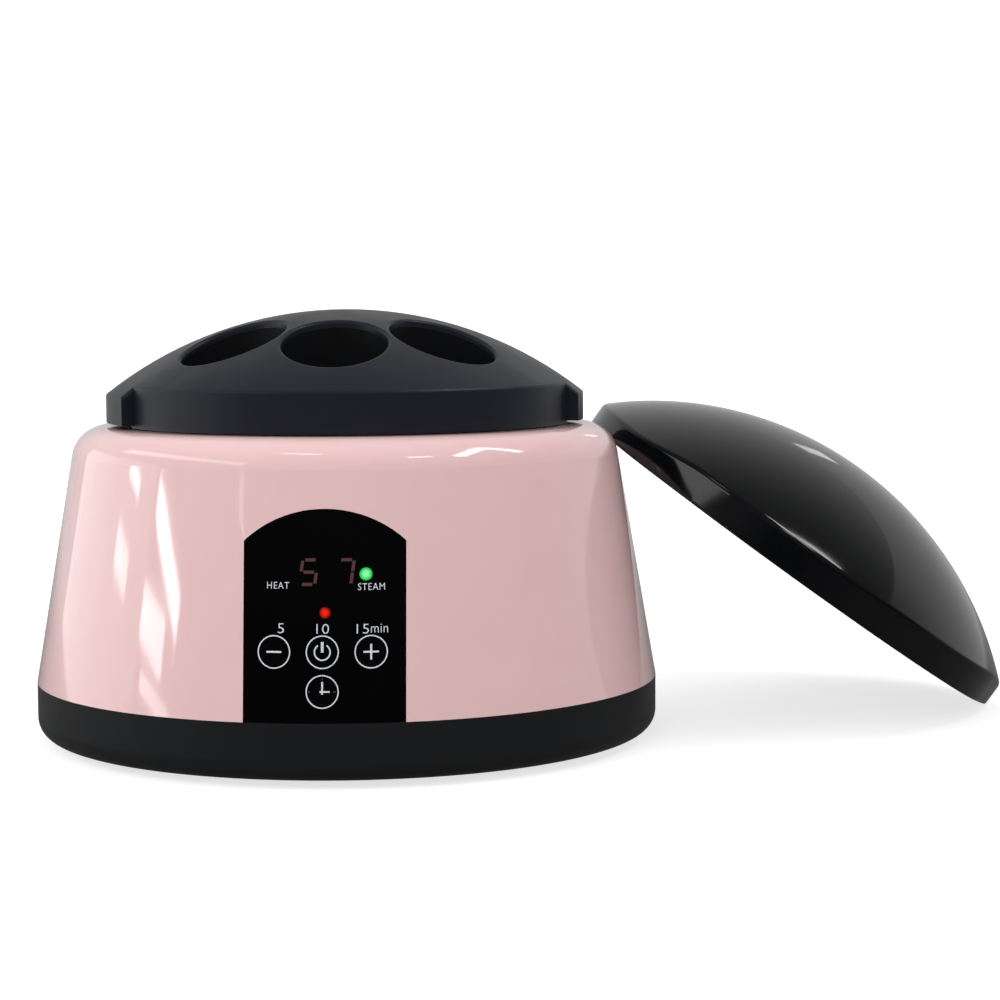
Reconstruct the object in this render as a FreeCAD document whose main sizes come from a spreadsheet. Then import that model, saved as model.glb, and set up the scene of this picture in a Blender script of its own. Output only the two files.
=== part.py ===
import FreeCAD, Part
import math
import os
import re
from typing import NamedTuple

import Sketcher
from FreeCAD import Placement, Rotation, Vector

# Steam machine for taking off gel nail polish: a tapered round body with a
# metal water basin and heater inside, a lift-off finger cover with five holes
# over the basin, and a domed lid that leans against the body's right side.
# Origin: on the body's axis, in the plane of the table. +Z is up, the control
# panel faces -Y and the lid leans at +X. All lengths are millimetres, all
# angles degrees, and an azimuth is turned about +Z from the front (-Y).

# Driving dimensions -------------------------------------------------------
SIZES = {
    # body: black base pan below, tapered housing above
    "body_radius": 110.0,
    "body_height": 111.0,
    "seam_height": 21.5,
    "foot_drop": 2.0,
    "body_lean": 9.6,
    "shoulder_radius": 12.0,
    "housing_wall": 2.6,
    "pan_wall": 2.6,
    "pan_floor": 2.8,
    "pan_edge": 7.0,
    "lap_height": 4.5,
    "lap_wall": 1.8,
    "lap_gap": 0.2,
    # water basin and its seat in the top of the housing
    "seat_land": 8.2,
    "seat_depth": 2.4,
    "seat_gap": 0.4,
    "seal_height": 1.2,
    "flange_width": 4.6,
    "basin_gap": 1.0,
    "basin_wall": 0.8,
    "basin_depth": 46.6,
    "basin_corner": 8.0,
    # screws that hold the two casings together
    "post_offset": 1.2,
    "post_radius": 4.0,
    "post_rise": 8.5,
    "post_pilot": 1.5,
    "sink_depth": 8.0,
    "sink_wall": 1.2,
    "casing_screw_radius": 1.4,
    "casing_screw_head": 2.9,
    "casing_screw_bite": 12.0,
    "head_height": 2.0,
    "screw_gap": 0.2,
    # feet and vents
    "foot_margin": 11.0,
    "foot_radius": 7.0,
    "foot_recess": 0.8,
    "foot_gap": 0.15,
    "vent_start": 41.0,
    "vent_length": 22.0,
    "vent_width": 3.0,
    # control panel: heights run up the leaning wall from the panel's middle
    "panel_middle_rise": 28.5,
    "panel_half_width": 25.9,
    "panel_top_margin": 10.2,
    "panel_arch_rise": 10.2,
    "panel_gap": 0.15,
    "panel_flange": 2.6,
    "lens_back": 1.2,
    "control_shift": 0.5,
    "key_radius": 5.55,
    "key_gap": 0.2,
    "key_proud": 0.25,
    "key_row_drop": 6.2,
    "key_row_space": 3.2,
    "key_stack_space": 0.3,
    "key_flange_width": 0.6,
    "key_flange_height": 1.2,
    "key_flange_gap": 0.25,
    "key_stem_radius": 1.4,
    "key_stem_length": 2.0,
    "key_lift": 1.0,
    "stem_gap": 0.12,
    "stem_room": 1.2,
    "switch_size": 6.0,
    "switch_height": 4.0,
    "board_thickness": 1.6,
    "board_margin": 4.0,
    "boss_space": 1.0,
    "boss_low": 20.0,
    "boss_high": 26.0,
    "boss_radius": 3.0,
    "boss_skin": 1.0,
    "board_screw_radius": 1.2,
    "board_screw_head": 2.3,
    "board_screw_bite": 4.0,
    "digit_width": 10.0,
    "digit_height": 14.0,
    "digit_depth": 7.2,
    "digit_space": 1.5,
    "digit_shift": 0.85,
    "digit_rise": 19.3,
    "led_radius": 1.5,
    "led_length": 7.0,
    "led_collar": 0.2,
    "led_collar_height": 1.0,
    "mode_led_space": 0.2,
    "mode_led_rise": 18.6,
    "time_led_pitch": 14.0,
    "time_led_rise": 6.3,
    # heater under the basin
    "element_ring": 36.0,
    "element_radius": 3.0,
    "element_gap": 0.1,
    "element_opening": 16.0,
    "plate_thickness": 3.0,
    "plate_margin": 6.0,
    "strap_width": 14.0,
    "strap_thickness": 1.5,
    "strap_margin": 5.0,
    "strap_screw_radius": 2.0,
    "strap_screw_head": 3.6,
    "strap_screw_bite": 2.0,
    "thermostat_radius": 7.5,
    "thermostat_height": 5.0,
    "fuse_radius": 2.0,
    "fuse_length": 12.0,
    "sensor_clear": 5.5,
    # power board in the base
    "power_board_long": 78.0,
    "power_board_front": 1.0,
    "lead_edge": 0.85,
    "standoff_height": 6.0,
    "standoff_radius": 3.0,
    "standoff_inset": 4.0,
    "relay_long": 20.0,
    "relay_deep": 16.0,
    "relay_high": 15.5,
    "relay_inset": 5.0,
    "capacitor_radius": 6.5,
    "capacitor_height": 22.0,
    "capacitor_across": 4.0,
    "transformer_long": 16.0,
    "transformer_deep": 14.0,
    "transformer_high": 17.0,
    "transformer_across": 16.0,
    "component_back": 17.0,
    "terminal_long": 16.0,
    "terminal_deep": 9.0,
    "terminal_high": 11.0,
    # mains inlet at the back, and the leads inside
    "inlet_rise": 18.5,
    "inlet_half_width": 11.0,
    "inlet_half_height": 7.0,
    "inlet_reach": 20.0,
    "inlet_gap": 0.2,
    "inlet_lip": 2.6,
    "inlet_proud": 1.4,
    "socket_radius": 4.3,
    "socket_pitch": 8.2,
    "socket_waist": 5.2,
    "socket_depth": 13.0,
    "pin_radius": 1.2,
    "pin_length": 9.0,
    "lead_radius": 1.0,
    "lead_bend": 12.0,
    "lead_clear": 3.0,
    "ribbon_width": 12.0,
    "ribbon_thickness": 0.9,
    "ribbon_bend": 10.0,
    "ribbon_height": 4.0,
    "plug_width": 14.0,
    "plug_depth": 5.0,
    "plug_height": 6.0,
    "plug_rise": 8.0,
    "header_inset": 1.0,
    # finger cover
    "cover_overlap": 3.4,
    "cover_band": 14.0,
    "cover_wall": 2.4,
    "cover_gap": 0.4,
    "cover_dome": 136.0,
    "cover_ear_reach": 4.5,
    "cover_ear_turn": 8.5,
    "ear_half_angle": 21.0,
    "ear_lift": 1.0,
    "ear_core_wall": 1.6,
    "ear_core_depth": 7.0,
    "ear_core_margin": 1.4,
    "edge_round": 1.1,
    "hole_radius": 18.0,
    "sleeve_web": 0.5,
    "back_hole_turn": 118.0,
    "sleeve_wall": 1.1,
    "sleeve_gap": 0.8,
    "sleeve_reach": 11.0,
    "sleeve_lap": 0.1,
    "drip_gap": 0.6,
    "drip_wall": 1.3,
    "drip_reach": 7.0,
    # lid
    "lid_room": 1.5,
    "lid_wall": 2.4,
    "lid_ear_reach": 3.7,
    "lid_band": 11.4,
    "lid_dome": 133.1,
    "lid_edge_round": 2.4,
    "lid_tilt": 35.78,
    "lid_swing": -0.5,
    "lid_turn": 17.2,
    "lid_back": 56.2,
    "rest_gap": 0.3,
}

# Places given by a count or a list of azimuths
POST_AZIMUTHS = (45.0, 135.0, 225.0, 315.0)
FOOT_AZIMUTHS = (0.0, 90.0, 180.0, 270.0)
VENT_COUNT = 12

SHEET_NAME = "Sizes"
HEAL_TOLERANCE = 1e-6
FUNCTIONS = {"sqrt", "sin", "cos", "tan", "asin"}

doc = FreeCAD.newDocument("NailSteamer")
nodes = []


# Spreadsheet and formulas ---------------------------------------------------
def make_sheet():
    """Write every driving dimension into the sheet, one named cell each."""
    table = doc.addObject("Spreadsheet::Sheet", SHEET_NAME)
    for row, (name, size) in enumerate(SIZES.items(), start=1):
        table.set(f"A{row}", name)
        table.set(f"B{row}", str(size))
        table.setAlias(f"B{row}", name)
    doc.recompute()
    return table


def linked(formula):
    """Point each size named in a formula at its cell in the sheet."""
    def link(match):
        word = match.group(0)
        return word if word in FUNCTIONS else f"{SHEET_NAME}.{word}"
    return re.sub(r"[a-z][a-z_]*", link, formula)


def value(formula):
    """Work out a formula of sheet sizes as a plain number."""
    result = sheet.evalExpression(linked(formula))
    return float(getattr(result, "Value", result))


def is_zero(formula):
    """Tell whether a formula comes out as nothing."""
    return abs(value(formula)) < 1e-9


def bind(target, **formulas):
    """Tie properties of an object to formulas of sheet sizes."""
    for prop, formula in formulas.items():
        target.setExpression(prop, linked(formula))


def minus(formula):
    """Turn a formula's sign."""
    return f"(0 - {formula})"


def cone_radius(height, inset="0"):
    """Radius of the tapered wall at a height, less an inset."""
    return f"(body_radius - tan(body_lean) * ({height} - seam_height) - ({inset}))"


def rim_height(centre, sphere, radius):
    """Height at which a sphere about a point on the axis has a radius."""
    return f"({centre} + sqrt(({sphere}) * ({sphere}) - ({radius}) * ({radius})))"


sheet = make_sheet()

# Formulas that several pieces share
WALL_ACROSS = "(housing_wall / cos(body_lean))"
SHOULDER_Z = "(body_height - shoulder_radius)"
SHOULDER_R = cone_radius(SHOULDER_Z, "shoulder_radius / cos(body_lean)")
SEAT_RADIUS = f"({SHOULDER_R} - seat_land)"
SEAT_Z = "(body_height - seat_depth)"
MOUTH_RADIUS = f"({SEAT_RADIUS} - seat_gap - flange_width + basin_gap)"
FLANGE_RADIUS = f"({SEAT_RADIUS} - seat_gap)"
BASIN_RADIUS = f"({FLANGE_RADIUS} - flange_width)"
BASIN_INNER = f"({BASIN_RADIUS} - basin_wall)"
BASIN_FLOOR = f"({SEAT_Z} - basin_depth)"
BASIN_UNDER = f"({BASIN_FLOOR} - basin_wall)"
BASIN_TOP = f"({SEAT_Z} + seal_height + basin_wall)"
PAN_TOP = "(foot_drop + pan_floor)"
POST_RING = f"({SHOULDER_R} + post_offset)"
POST_FLOOR = "(seam_height + post_rise)"
SINK_TOP = "(foot_drop + sink_depth)"
SINK_RADIUS = "(casing_screw_head + screw_gap)"
FOOT_RING = "(body_radius - pan_edge - foot_margin - foot_radius)"
BEYOND = "(2 * body_radius)"

PANEL_Z = "(seam_height + panel_middle_rise)"
PANEL_R = cone_radius(PANEL_Z)
ARCH_RADIUS = "((panel_half_width ^ 2 + panel_arch_rise ^ 2) / (2 * panel_arch_rise))"
ARCH_CENTRE = f"({SHOULDER_Z} - panel_top_margin - {ARCH_RADIUS})"
LENS_FOOT = "(seam_height + panel_gap)"
KEY_FLANGE_RADIUS = "(key_radius + key_flange_width)"
KEY_PITCH = f"(2 * {KEY_FLANGE_RADIUS} + key_row_space)"
TIMER_DROP = f"(key_row_drop + 2 * {KEY_FLANGE_RADIUS} + key_stack_space)"
KEY_REACH = f"({KEY_PITCH} + control_shift + {KEY_FLANGE_RADIUS})"
KEY_DEPTH = (f"({WALL_ACROSS} + lens_back + key_flange_gap"
             f" + {PANEL_R} - sqrt({PANEL_R} ^ 2 - {KEY_REACH} ^ 2))")
KEY_FLANGE_BACK = f"({KEY_DEPTH} + key_flange_height)"
SWITCH_DEPTH = f"({KEY_FLANGE_BACK} + key_lift)"
BOARD_DEPTH = f"({SWITCH_DEPTH} + switch_height)"
BOARD_BACK = f"({BOARD_DEPTH} + board_thickness)"
BOSS_ACROSS = "(panel_half_width + panel_flange + boss_space + boss_radius)"
BOSS_EDGE = f"({BOSS_ACROSS} + boss_radius)"
BOSS_END = f"({PANEL_R} - sqrt({PANEL_R} ^ 2 - {BOSS_EDGE} ^ 2) + boss_skin)"
DIGIT_ACROSS = "((digit_width + digit_space) / 2)"
MODE_LED_ACROSS = (f"(digit_shift + {DIGIT_ACROSS} + digit_width / 2"
                   " + led_radius + led_collar + mode_led_space)")

PLATE_UNDER = f"({BASIN_UNDER} - plate_thickness)"
ELEMENT_Z = f"({PLATE_UNDER} - element_gap - element_radius)"
STRAP_TOP = f"({ELEMENT_Z} - element_radius - element_gap)"
STRAP_UNDER = f"({STRAP_TOP} - strap_thickness)"
STRAP_SCREW = "(element_ring + element_radius + strap_margin)"
PLATE_RADIUS = f"({STRAP_SCREW} + plate_margin)"
ELEMENT_END_X = "(element_ring * sin(element_opening / 2))"
ELEMENT_END_Y = "(element_ring * cos(element_opening / 2))"
POWER_BOARD_Z = f"({PAN_TOP} + standoff_height)"
POWER_BOARD_TOP = f"({POWER_BOARD_Z} + board_thickness)"

INLET_Z = "(seam_height + inlet_rise)"
INLET_ROOT = f"({cone_radius(INLET_Z)} - inlet_reach)"
SOCKET_FLOOR = f"({cone_radius(INLET_Z)} + inlet_proud - socket_depth)"
LEAD_Y = f"({ELEMENT_END_Y} + terminal_deep / 2 + lead_clear)"
POWER_BOARD_DEEP = f"({LEAD_Y} + lead_radius + lead_edge + power_board_front)"
POWER_BOARD_MIDDLE = f"({POWER_BOARD_DEEP} / 2 - power_board_front)"

COVER_Z = "(body_height + cover_gap)"
COVER_RADIUS = f"({SEAT_RADIUS} + cover_overlap)"
COVER_EAR = f"({COVER_RADIUS} + cover_ear_reach)"
DRIP_RADIUS = f"({BASIN_INNER} - drip_gap)"
SLEEVE_RADIUS = "(hole_radius + sleeve_wall)"
HOLE_RING = f"({DRIP_RADIUS} - drip_wall - sleeve_gap - {SLEEVE_RADIUS})"
HOLE_PITCH = f"(2 * asin(({SLEEVE_RADIUS} + sleeve_web / 2) / {HOLE_RING}))"
LID_RADIUS = f"({COVER_EAR} + lid_room + lid_wall)"
LID_EAR = f"({LID_RADIUS} + lid_ear_reach)"

KEYS = {
    "minus_key": (f"(0 - control_shift - {KEY_PITCH})", "(0 - key_row_drop)"),
    "power_key": ("(0 - control_shift)", "(0 - key_row_drop)"),
    "plus_key": (f"({KEY_PITCH} - control_shift)", "(0 - key_row_drop)"),
    "timer_key": ("(0 - control_shift)", minus(TIMER_DROP)),
}
BOARD_BOSSES = (
    (BOSS_ACROSS, "boss_high"),
    (BOSS_ACROSS, "(0 - boss_low)"),
    (minus(BOSS_ACROSS), "boss_high"),
    (minus(BOSS_ACROSS), "(0 - boss_low)"),
)
STANDOFF_X = "(power_board_long / 2 - standoff_inset)"
STANDOFF_Y = f"({POWER_BOARD_DEEP} / 2 - standoff_inset)"
STANDOFFS = (
    (STANDOFF_X, f"({POWER_BOARD_MIDDLE} + {STANDOFF_Y})"),
    (STANDOFF_X, f"({POWER_BOARD_MIDDLE} - {STANDOFF_Y})"),
    (minus(STANDOFF_X), f"({POWER_BOARD_MIDDLE} + {STANDOFF_Y})"),
    (minus(STANDOFF_X), f"({POWER_BOARD_MIDDLE} - {STANDOFF_Y})"),
)
HOLE_TURNS = ("0", HOLE_PITCH, f"(-1 * {HOLE_PITCH})", "back_hole_turn", "(-1 * back_hole_turn)")


# Sketches -------------------------------------------------------------------
def origin_plane(body, role):
    """Find one of a body's own origin planes by its role."""
    for feature in body.Origin.OriginFeatures:
        if feature.Role == role:
            return feature
    raise ValueError(role)


def new_sketch(body, name, role, lift="0"):
    """Start a sketch on an origin plane, lifted along the plane's normal."""
    sketch = body.newObject("Sketcher::SketchObject", name)
    sketch.AttachmentSupport = (origin_plane(body, role), [""])
    sketch.MapMode = "FlatFace"
    sketch.AttachmentOffset = Placement(Vector(0, 0, value(lift)), Rotation())
    bind(sketch, **{"AttachmentOffset.Base.z": lift})
    return sketch


def panel_sketch(body, name, depth):
    """Start a sketch along the leaning panel, at a depth behind its face."""
    sketch = new_sketch(body, name, "XZ_Plane")
    up = f"({PANEL_Z} - ({depth}) * sin(body_lean))"
    out = f"({PANEL_R} - ({depth}) * cos(body_lean))"
    lean = Rotation(Vector(1, 0, 0), -value("body_lean"))
    sketch.AttachmentOffset = Placement(Vector(0, value(up), value(out)), lean)
    bind(sketch, **{"AttachmentOffset.Base.y": up, "AttachmentOffset.Base.z": out})
    return sketch


def hold(sketch, edge, end, kind, formula):
    """Hold one coordinate of a sketch point at a formula, or on an axis."""
    axis = -2 if kind == "DistanceX" else -1
    if is_zero(formula):
        sketch.addConstraint(Sketcher.Constraint("PointOnObject", edge, end, axis))
        return
    distance = value(formula)
    index = sketch.addConstraint(Sketcher.Constraint(kind, -1, 1, edge, end, distance))
    sketch.setExpression(f"Constraints[{index}]", linked(formula))


def add_arc(sketch, start, finish, centre):
    """Add the shorter arc between two points and tell which end comes first."""
    spoke_in = start - centre
    spoke_out = finish - centre
    leftward = spoke_in.cross(spoke_out).z > 0
    first, last = (spoke_in, spoke_out) if leftward else (spoke_out, spoke_in)
    circle = Part.Circle(centre, Vector(0, 0, 1), spoke_in.Length)
    angles = [math.atan2(spoke.y, spoke.x) for spoke in (first, last)]
    edge = sketch.addGeometry(Part.ArcOfCircle(circle, angles[0], angles[1]))
    return (edge, 1, 2) if leftward else (edge, 2, 1)


def draw_outline(sketch, corners, arcs=None):
    """Draw a closed outline through corners given as formulas.

    arcs maps the number of an edge, counted from its first corner, to the
    centre of the arc that it follows. Every other edge is straight.
    """
    arcs = arcs or {}
    points = [Vector(value(across), value(up), 0) for across, up in corners]
    ends = []
    for number, start in enumerate(points):
        finish = points[(number + 1) % len(points)]
        if number in arcs:
            across, up = arcs[number]
            centre = Vector(value(across), value(up), 0)
            ends.append(add_arc(sketch, start, finish, centre))
        else:
            edge = sketch.addGeometry(Part.LineSegment(start, finish))
            ends.append((edge, 1, 2))
    for number, (edge, into, out) in enumerate(ends):
        following, start, _ = ends[(number + 1) % len(ends)]
        sketch.addConstraint(Sketcher.Constraint("Coincident", edge, out, following, start))
        across, up = corners[number]
        hold(sketch, edge, into, "DistanceX", across)
        hold(sketch, edge, into, "DistanceY", up)
    for number, (across, up) in arcs.items():
        chord = points[(number + 1) % len(points)] - points[number]
        upright = abs(chord.x) < abs(chord.y)
        kind, formula = ("DistanceX", across) if upright else ("DistanceY", up)
        hold(sketch, ends[number][0], 3, kind, formula)


def draw_circle(sketch, across, up, radius):
    """Draw a circle whose centre and radius are formulas."""
    centre = Vector(value(across), value(up), 0)
    edge = sketch.addGeometry(Part.Circle(centre, Vector(0, 0, 1), value(radius)))
    index = sketch.addConstraint(Sketcher.Constraint("Radius", edge, value(radius)))
    sketch.setExpression(f"Constraints[{index}]", linked(radius))
    hold(sketch, edge, 3, "DistanceX", across)
    hold(sketch, edge, 3, "DistanceY", up)


def draw_box(sketch, low_across, high_across, low_up, high_up):
    """Draw a rectangle between four formulas."""
    draw_outline(sketch, [
        (low_across, low_up),
        (high_across, low_up),
        (high_across, high_up),
        (low_across, high_up),
    ])


def draw_panel(sketch, grow, foot):
    """Draw the panel's arched outline, grown by a formula, down to a foot."""
    side = f"(panel_half_width + {grow})"
    reach = f"({ARCH_RADIUS} + {grow})"
    spring = rim_height(ARCH_CENTRE, reach, side)
    draw_outline(sketch, [
        (minus(side), foot),
        (side, foot),
        (side, spring),
        (minus(side), spring),
    ], arcs={2: ("0", ARCH_CENTRE)})


def draw_eared(sketch, radius, ear, turn):
    """Draw a circle with two opposite grip ears, turned from the X axis."""
    low = f"({turn} - ear_half_angle)"
    high = f"({turn} + ear_half_angle)"
    half = []
    for reach, angle in ((radius, low), (ear, low), (ear, high), (radius, high)):
        half.append((f"({reach} * cos({angle}))", f"({reach} * sin({angle}))"))
    far = [(minus(across), minus(up)) for across, up in half]
    centre = ("0", "0")
    draw_outline(sketch, half + far, arcs={1: centre, 3: centre, 5: centre, 7: centre})


def share_of(ring, share):
    """Write a signed share of a ring's radius as a formula."""
    if abs(share) < 1e-9:
        return "0"
    size = f"({ring} * {abs(share):.6f})"
    return size if share > 0 else minus(size)


def ring_spots(ring, azimuths):
    """List the places on a ring about the axis, as pairs of formulas."""
    spots = []
    for azimuth in azimuths:
        turn = math.radians(azimuth)
        spots.append((share_of(ring, math.sin(turn)), share_of(ring, -math.cos(turn))))
    return spots


def hole_spots():
    """List the centres of the finger holes, as pairs of formulas."""
    return [(f"({HOLE_RING} * sin({turn}))", f"(0 - {HOLE_RING} * cos({turn}))")
            for turn in HOLE_TURNS]


def draw_circles(sketch, spots, radius):
    """Draw equal circles about several places."""
    for across, up in spots:
        draw_circle(sketch, across, up, radius)


# Part Design features --------------------------------------------------------
def new_body(label):
    """Start a body that becomes the node of that name."""
    body = doc.addObject("PartDesign::Body", label)
    body.Label = label
    nodes.append(body)
    return body


def turn_profile(body, kind, name, sketch):
    """Turn a closed profile fully round the upright axis, to add or to cut."""
    feature = body.newObject(f"PartDesign::{kind}", name)
    feature.Profile = sketch
    feature.ReferenceAxis = (sketch, ["V_Axis"])
    feature.Angle = 360
    return feature


def pad(body, name, sketch, length, backwards=False):
    """Raise a sketch by a formula along its normal, or against it."""
    feature = body.newObject("PartDesign::Pad", name)
    feature.Profile = sketch
    feature.Reversed = backwards
    bind(feature, Length=length)
    return feature


def pocket(body, name, sketch, length=None, forwards=False):
    """Cut a sketch against its normal, or along it, to a length or right through."""
    doc.recompute()
    before = body.Shape.Volume
    feature = body.newObject("PartDesign::Pocket", name)
    feature.Profile = sketch
    feature.Reversed = forwards
    if length is None:
        feature.Type = "ThroughAll"
    else:
        bind(feature, Length=length)
    doc.recompute()
    if feature.Shape.Volume >= before:
        raise RuntimeError(f"{name} removes nothing")
    return feature


def trim_outside(body, name, low, high, inset):
    """Cut away what stands outside the tapered wall, set in by an inset."""
    sketch = new_sketch(body, f"{name}_profile", "XZ_Plane")
    draw_outline(sketch, [
        (cone_radius(low, inset), low),
        (cone_radius(high, inset), high),
        (BEYOND, high),
        (BEYOND, low),
    ])
    return turn_profile(body, "Groove", name, sketch)


def soften(body, name, chosen, radius):
    """Round the edges of the last feature that a test picks."""
    doc.recompute()
    base = body.Tip
    picked = [f"Edge{number}" for number, edge in enumerate(base.Shape.Edges, start=1)
              if chosen(edge)]
    feature = body.newObject("PartDesign::Fillet", name)
    feature.Base = (base, picked)
    bind(feature, Radius=radius)
    return feature


# Part primitives -------------------------------------------------------------
class Spot(NamedTuple):
    """A place given by formulas, tilted about X by a formula."""

    x: str = "0"
    y: str = "0"
    z: str = "0"
    tilt: str = "0"

    def moved(self, across="0", rise="0", out="0"):
        """Step from the spot along its own three directions."""
        return Spot(
            f"({self.x} + {across})",
            f"({self.y} + {rise} * cos({self.tilt}) - {out} * sin({self.tilt}))",
            f"({self.z} + {rise} * sin({self.tilt}) + {out} * cos({self.tilt}))",
            self.tilt,
        )


def on_panel(across, rise, depth):
    """Give a spot on the panel: X across, Y up the panel, Z out of it."""
    face = Spot("0", minus(PANEL_R), PANEL_Z, "(90 - body_lean)")
    return face.moved(across, rise, minus(depth))


def settle(feature, spot):
    """Bind an object's placement to a spot."""
    base = Vector(value(spot.x), value(spot.y), value(spot.z))
    feature.Placement = Placement(base, Rotation(Vector(1, 0, 0), value(spot.tilt)))
    bind(feature, **{"Placement.Base.x": spot.x, "Placement.Base.y": spot.y,
                     "Placement.Base.z": spot.z})
    return feature


def box(name, long, deep, high, spot):
    """Make a box that stands on the middle of its lowest face."""
    feature = doc.addObject("Part::Box", name)
    bind(feature, Length=long, Width=deep, Height=high)
    return settle(feature, spot.moved(f"(0 - {long} / 2)", f"(0 - {deep} / 2)"))


def cylinder(name, radius, high, spot):
    """Make a cylinder that stands on its spot."""
    feature = doc.addObject("Part::Cylinder", name)
    bind(feature, Radius=radius, Height=high)
    return settle(feature, spot)


def fuse(name, pieces):
    """Join touching pieces into one solid."""
    feature = doc.addObject("Part::MultiFuse", name)
    feature.Shapes = pieces
    return feature


def cut(name, base, tools):
    """Take several pieces away from another."""
    feature = doc.addObject("Part::Cut", name)
    feature.Base = base
    feature.Tool = tools[0] if len(tools) == 1 else fuse(f"{name}_tools", tools)
    return feature


def overlap(name, base, tool):
    """Keep what two pieces share."""
    feature = doc.addObject("Part::Common", name)
    feature.Base = base
    feature.Tool = tool
    return feature


def group(name, pieces):
    """Keep alike pieces together as separate solids of one node."""
    feature = doc.addObject("Part::Compound", name)
    feature.Links = pieces
    return keep(feature, name)


def keep(feature, label):
    """Keep an object as the node of that name."""
    feature.Label = label
    nodes.append(feature)
    return feature


def screw(name, radius, length, head_radius, spot):
    """Make a pan-head screw whose shank runs out from the seat of its head."""
    head = cylinder(f"{name}_head", head_radius, "head_height", spot.moved(out="(0 - head_height)"))
    shank = cylinder(f"{name}_shank", radius, length, spot)
    return fuse(name, [head, shank])


# Casings ----------------------------------------------------------------------
def make_housing():
    """Tapered housing: wall, rounded shoulder, basin seat, screw posts and openings."""
    body = new_body("housing_shell")
    inner_round = "(shoulder_radius - housing_wall)"
    shoulder = (SHOULDER_R, SHOULDER_Z)
    profile = new_sketch(body, "housing_profile", "XZ_Plane")
    draw_outline(profile, [
        ("body_radius", "seam_height"),
        (f"({SHOULDER_R} + shoulder_radius * cos(body_lean))",
         f"({SHOULDER_Z} + shoulder_radius * sin(body_lean))"),
        (SHOULDER_R, "body_height"),
        (SEAT_RADIUS, "body_height"),
        (SEAT_RADIUS, SEAT_Z),
        (MOUTH_RADIUS, SEAT_Z),
        (MOUTH_RADIUS, f"({SEAT_Z} - housing_wall)"),
        (f"({SEAT_RADIUS} + housing_wall)", f"({SEAT_Z} - housing_wall)"),
        (f"({SEAT_RADIUS} + housing_wall)", "(body_height - housing_wall)"),
        (SHOULDER_R, "(body_height - housing_wall)"),
        (f"({SHOULDER_R} + {inner_round} * cos(body_lean))",
         f"({SHOULDER_Z} + {inner_round} * sin(body_lean))"),
        (f"(body_radius - {WALL_ACROSS})", "seam_height"),
    ], arcs={1: shoulder, 9: shoulder})
    turn_profile(body, "Revolution", "housing_wall_turned", profile)

    posts = new_sketch(body, "post_sketch", "XY_Plane", POST_FLOOR)
    draw_circles(posts, ring_spots(POST_RING, POST_AZIMUTHS), "post_radius")
    pad(body, "posts", posts, f"(body_height - housing_wall / 2 - {POST_FLOOR})")
    pilots = new_sketch(body, "pilot_sketch", "XY_Plane", POST_FLOOR)
    draw_circles(pilots, ring_spots(POST_RING, POST_AZIMUTHS), "post_pilot")
    pocket(body, "post_pilots", pilots, "(casing_screw_bite + head_height)", forwards=True)

    bosses = panel_sketch(body, "boss_sketch", BOARD_DEPTH)
    draw_circles(bosses, BOARD_BOSSES, "boss_radius")
    pad(body, "board_bosses", bosses, f"({BOARD_DEPTH} - {BOSS_END})")
    pilots = panel_sketch(body, "boss_pilot_sketch", BOARD_DEPTH)
    draw_circles(pilots, BOARD_BOSSES, "(board_screw_radius + screw_gap / 2)")
    pocket(body, "boss_pilots", pilots, "(board_screw_bite + screw_gap)", forwards=True)

    window = new_sketch(body, "window_sketch", "XZ_Plane")
    draw_panel(window, "panel_gap", "(seam_height - pan_wall)")
    pocket(body, "panel_window", window, forwards=True)

    inlet = new_sketch(body, "inlet_sketch", "XZ_Plane")
    half_width = "(inlet_half_width + inlet_gap)"
    half_height = "(inlet_half_height + inlet_gap)"
    draw_box(inlet, minus(half_width), half_width,
             f"({INLET_Z} - {half_height})", f"({INLET_Z} + {half_height})")
    pocket(body, "inlet_opening", inlet)


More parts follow.
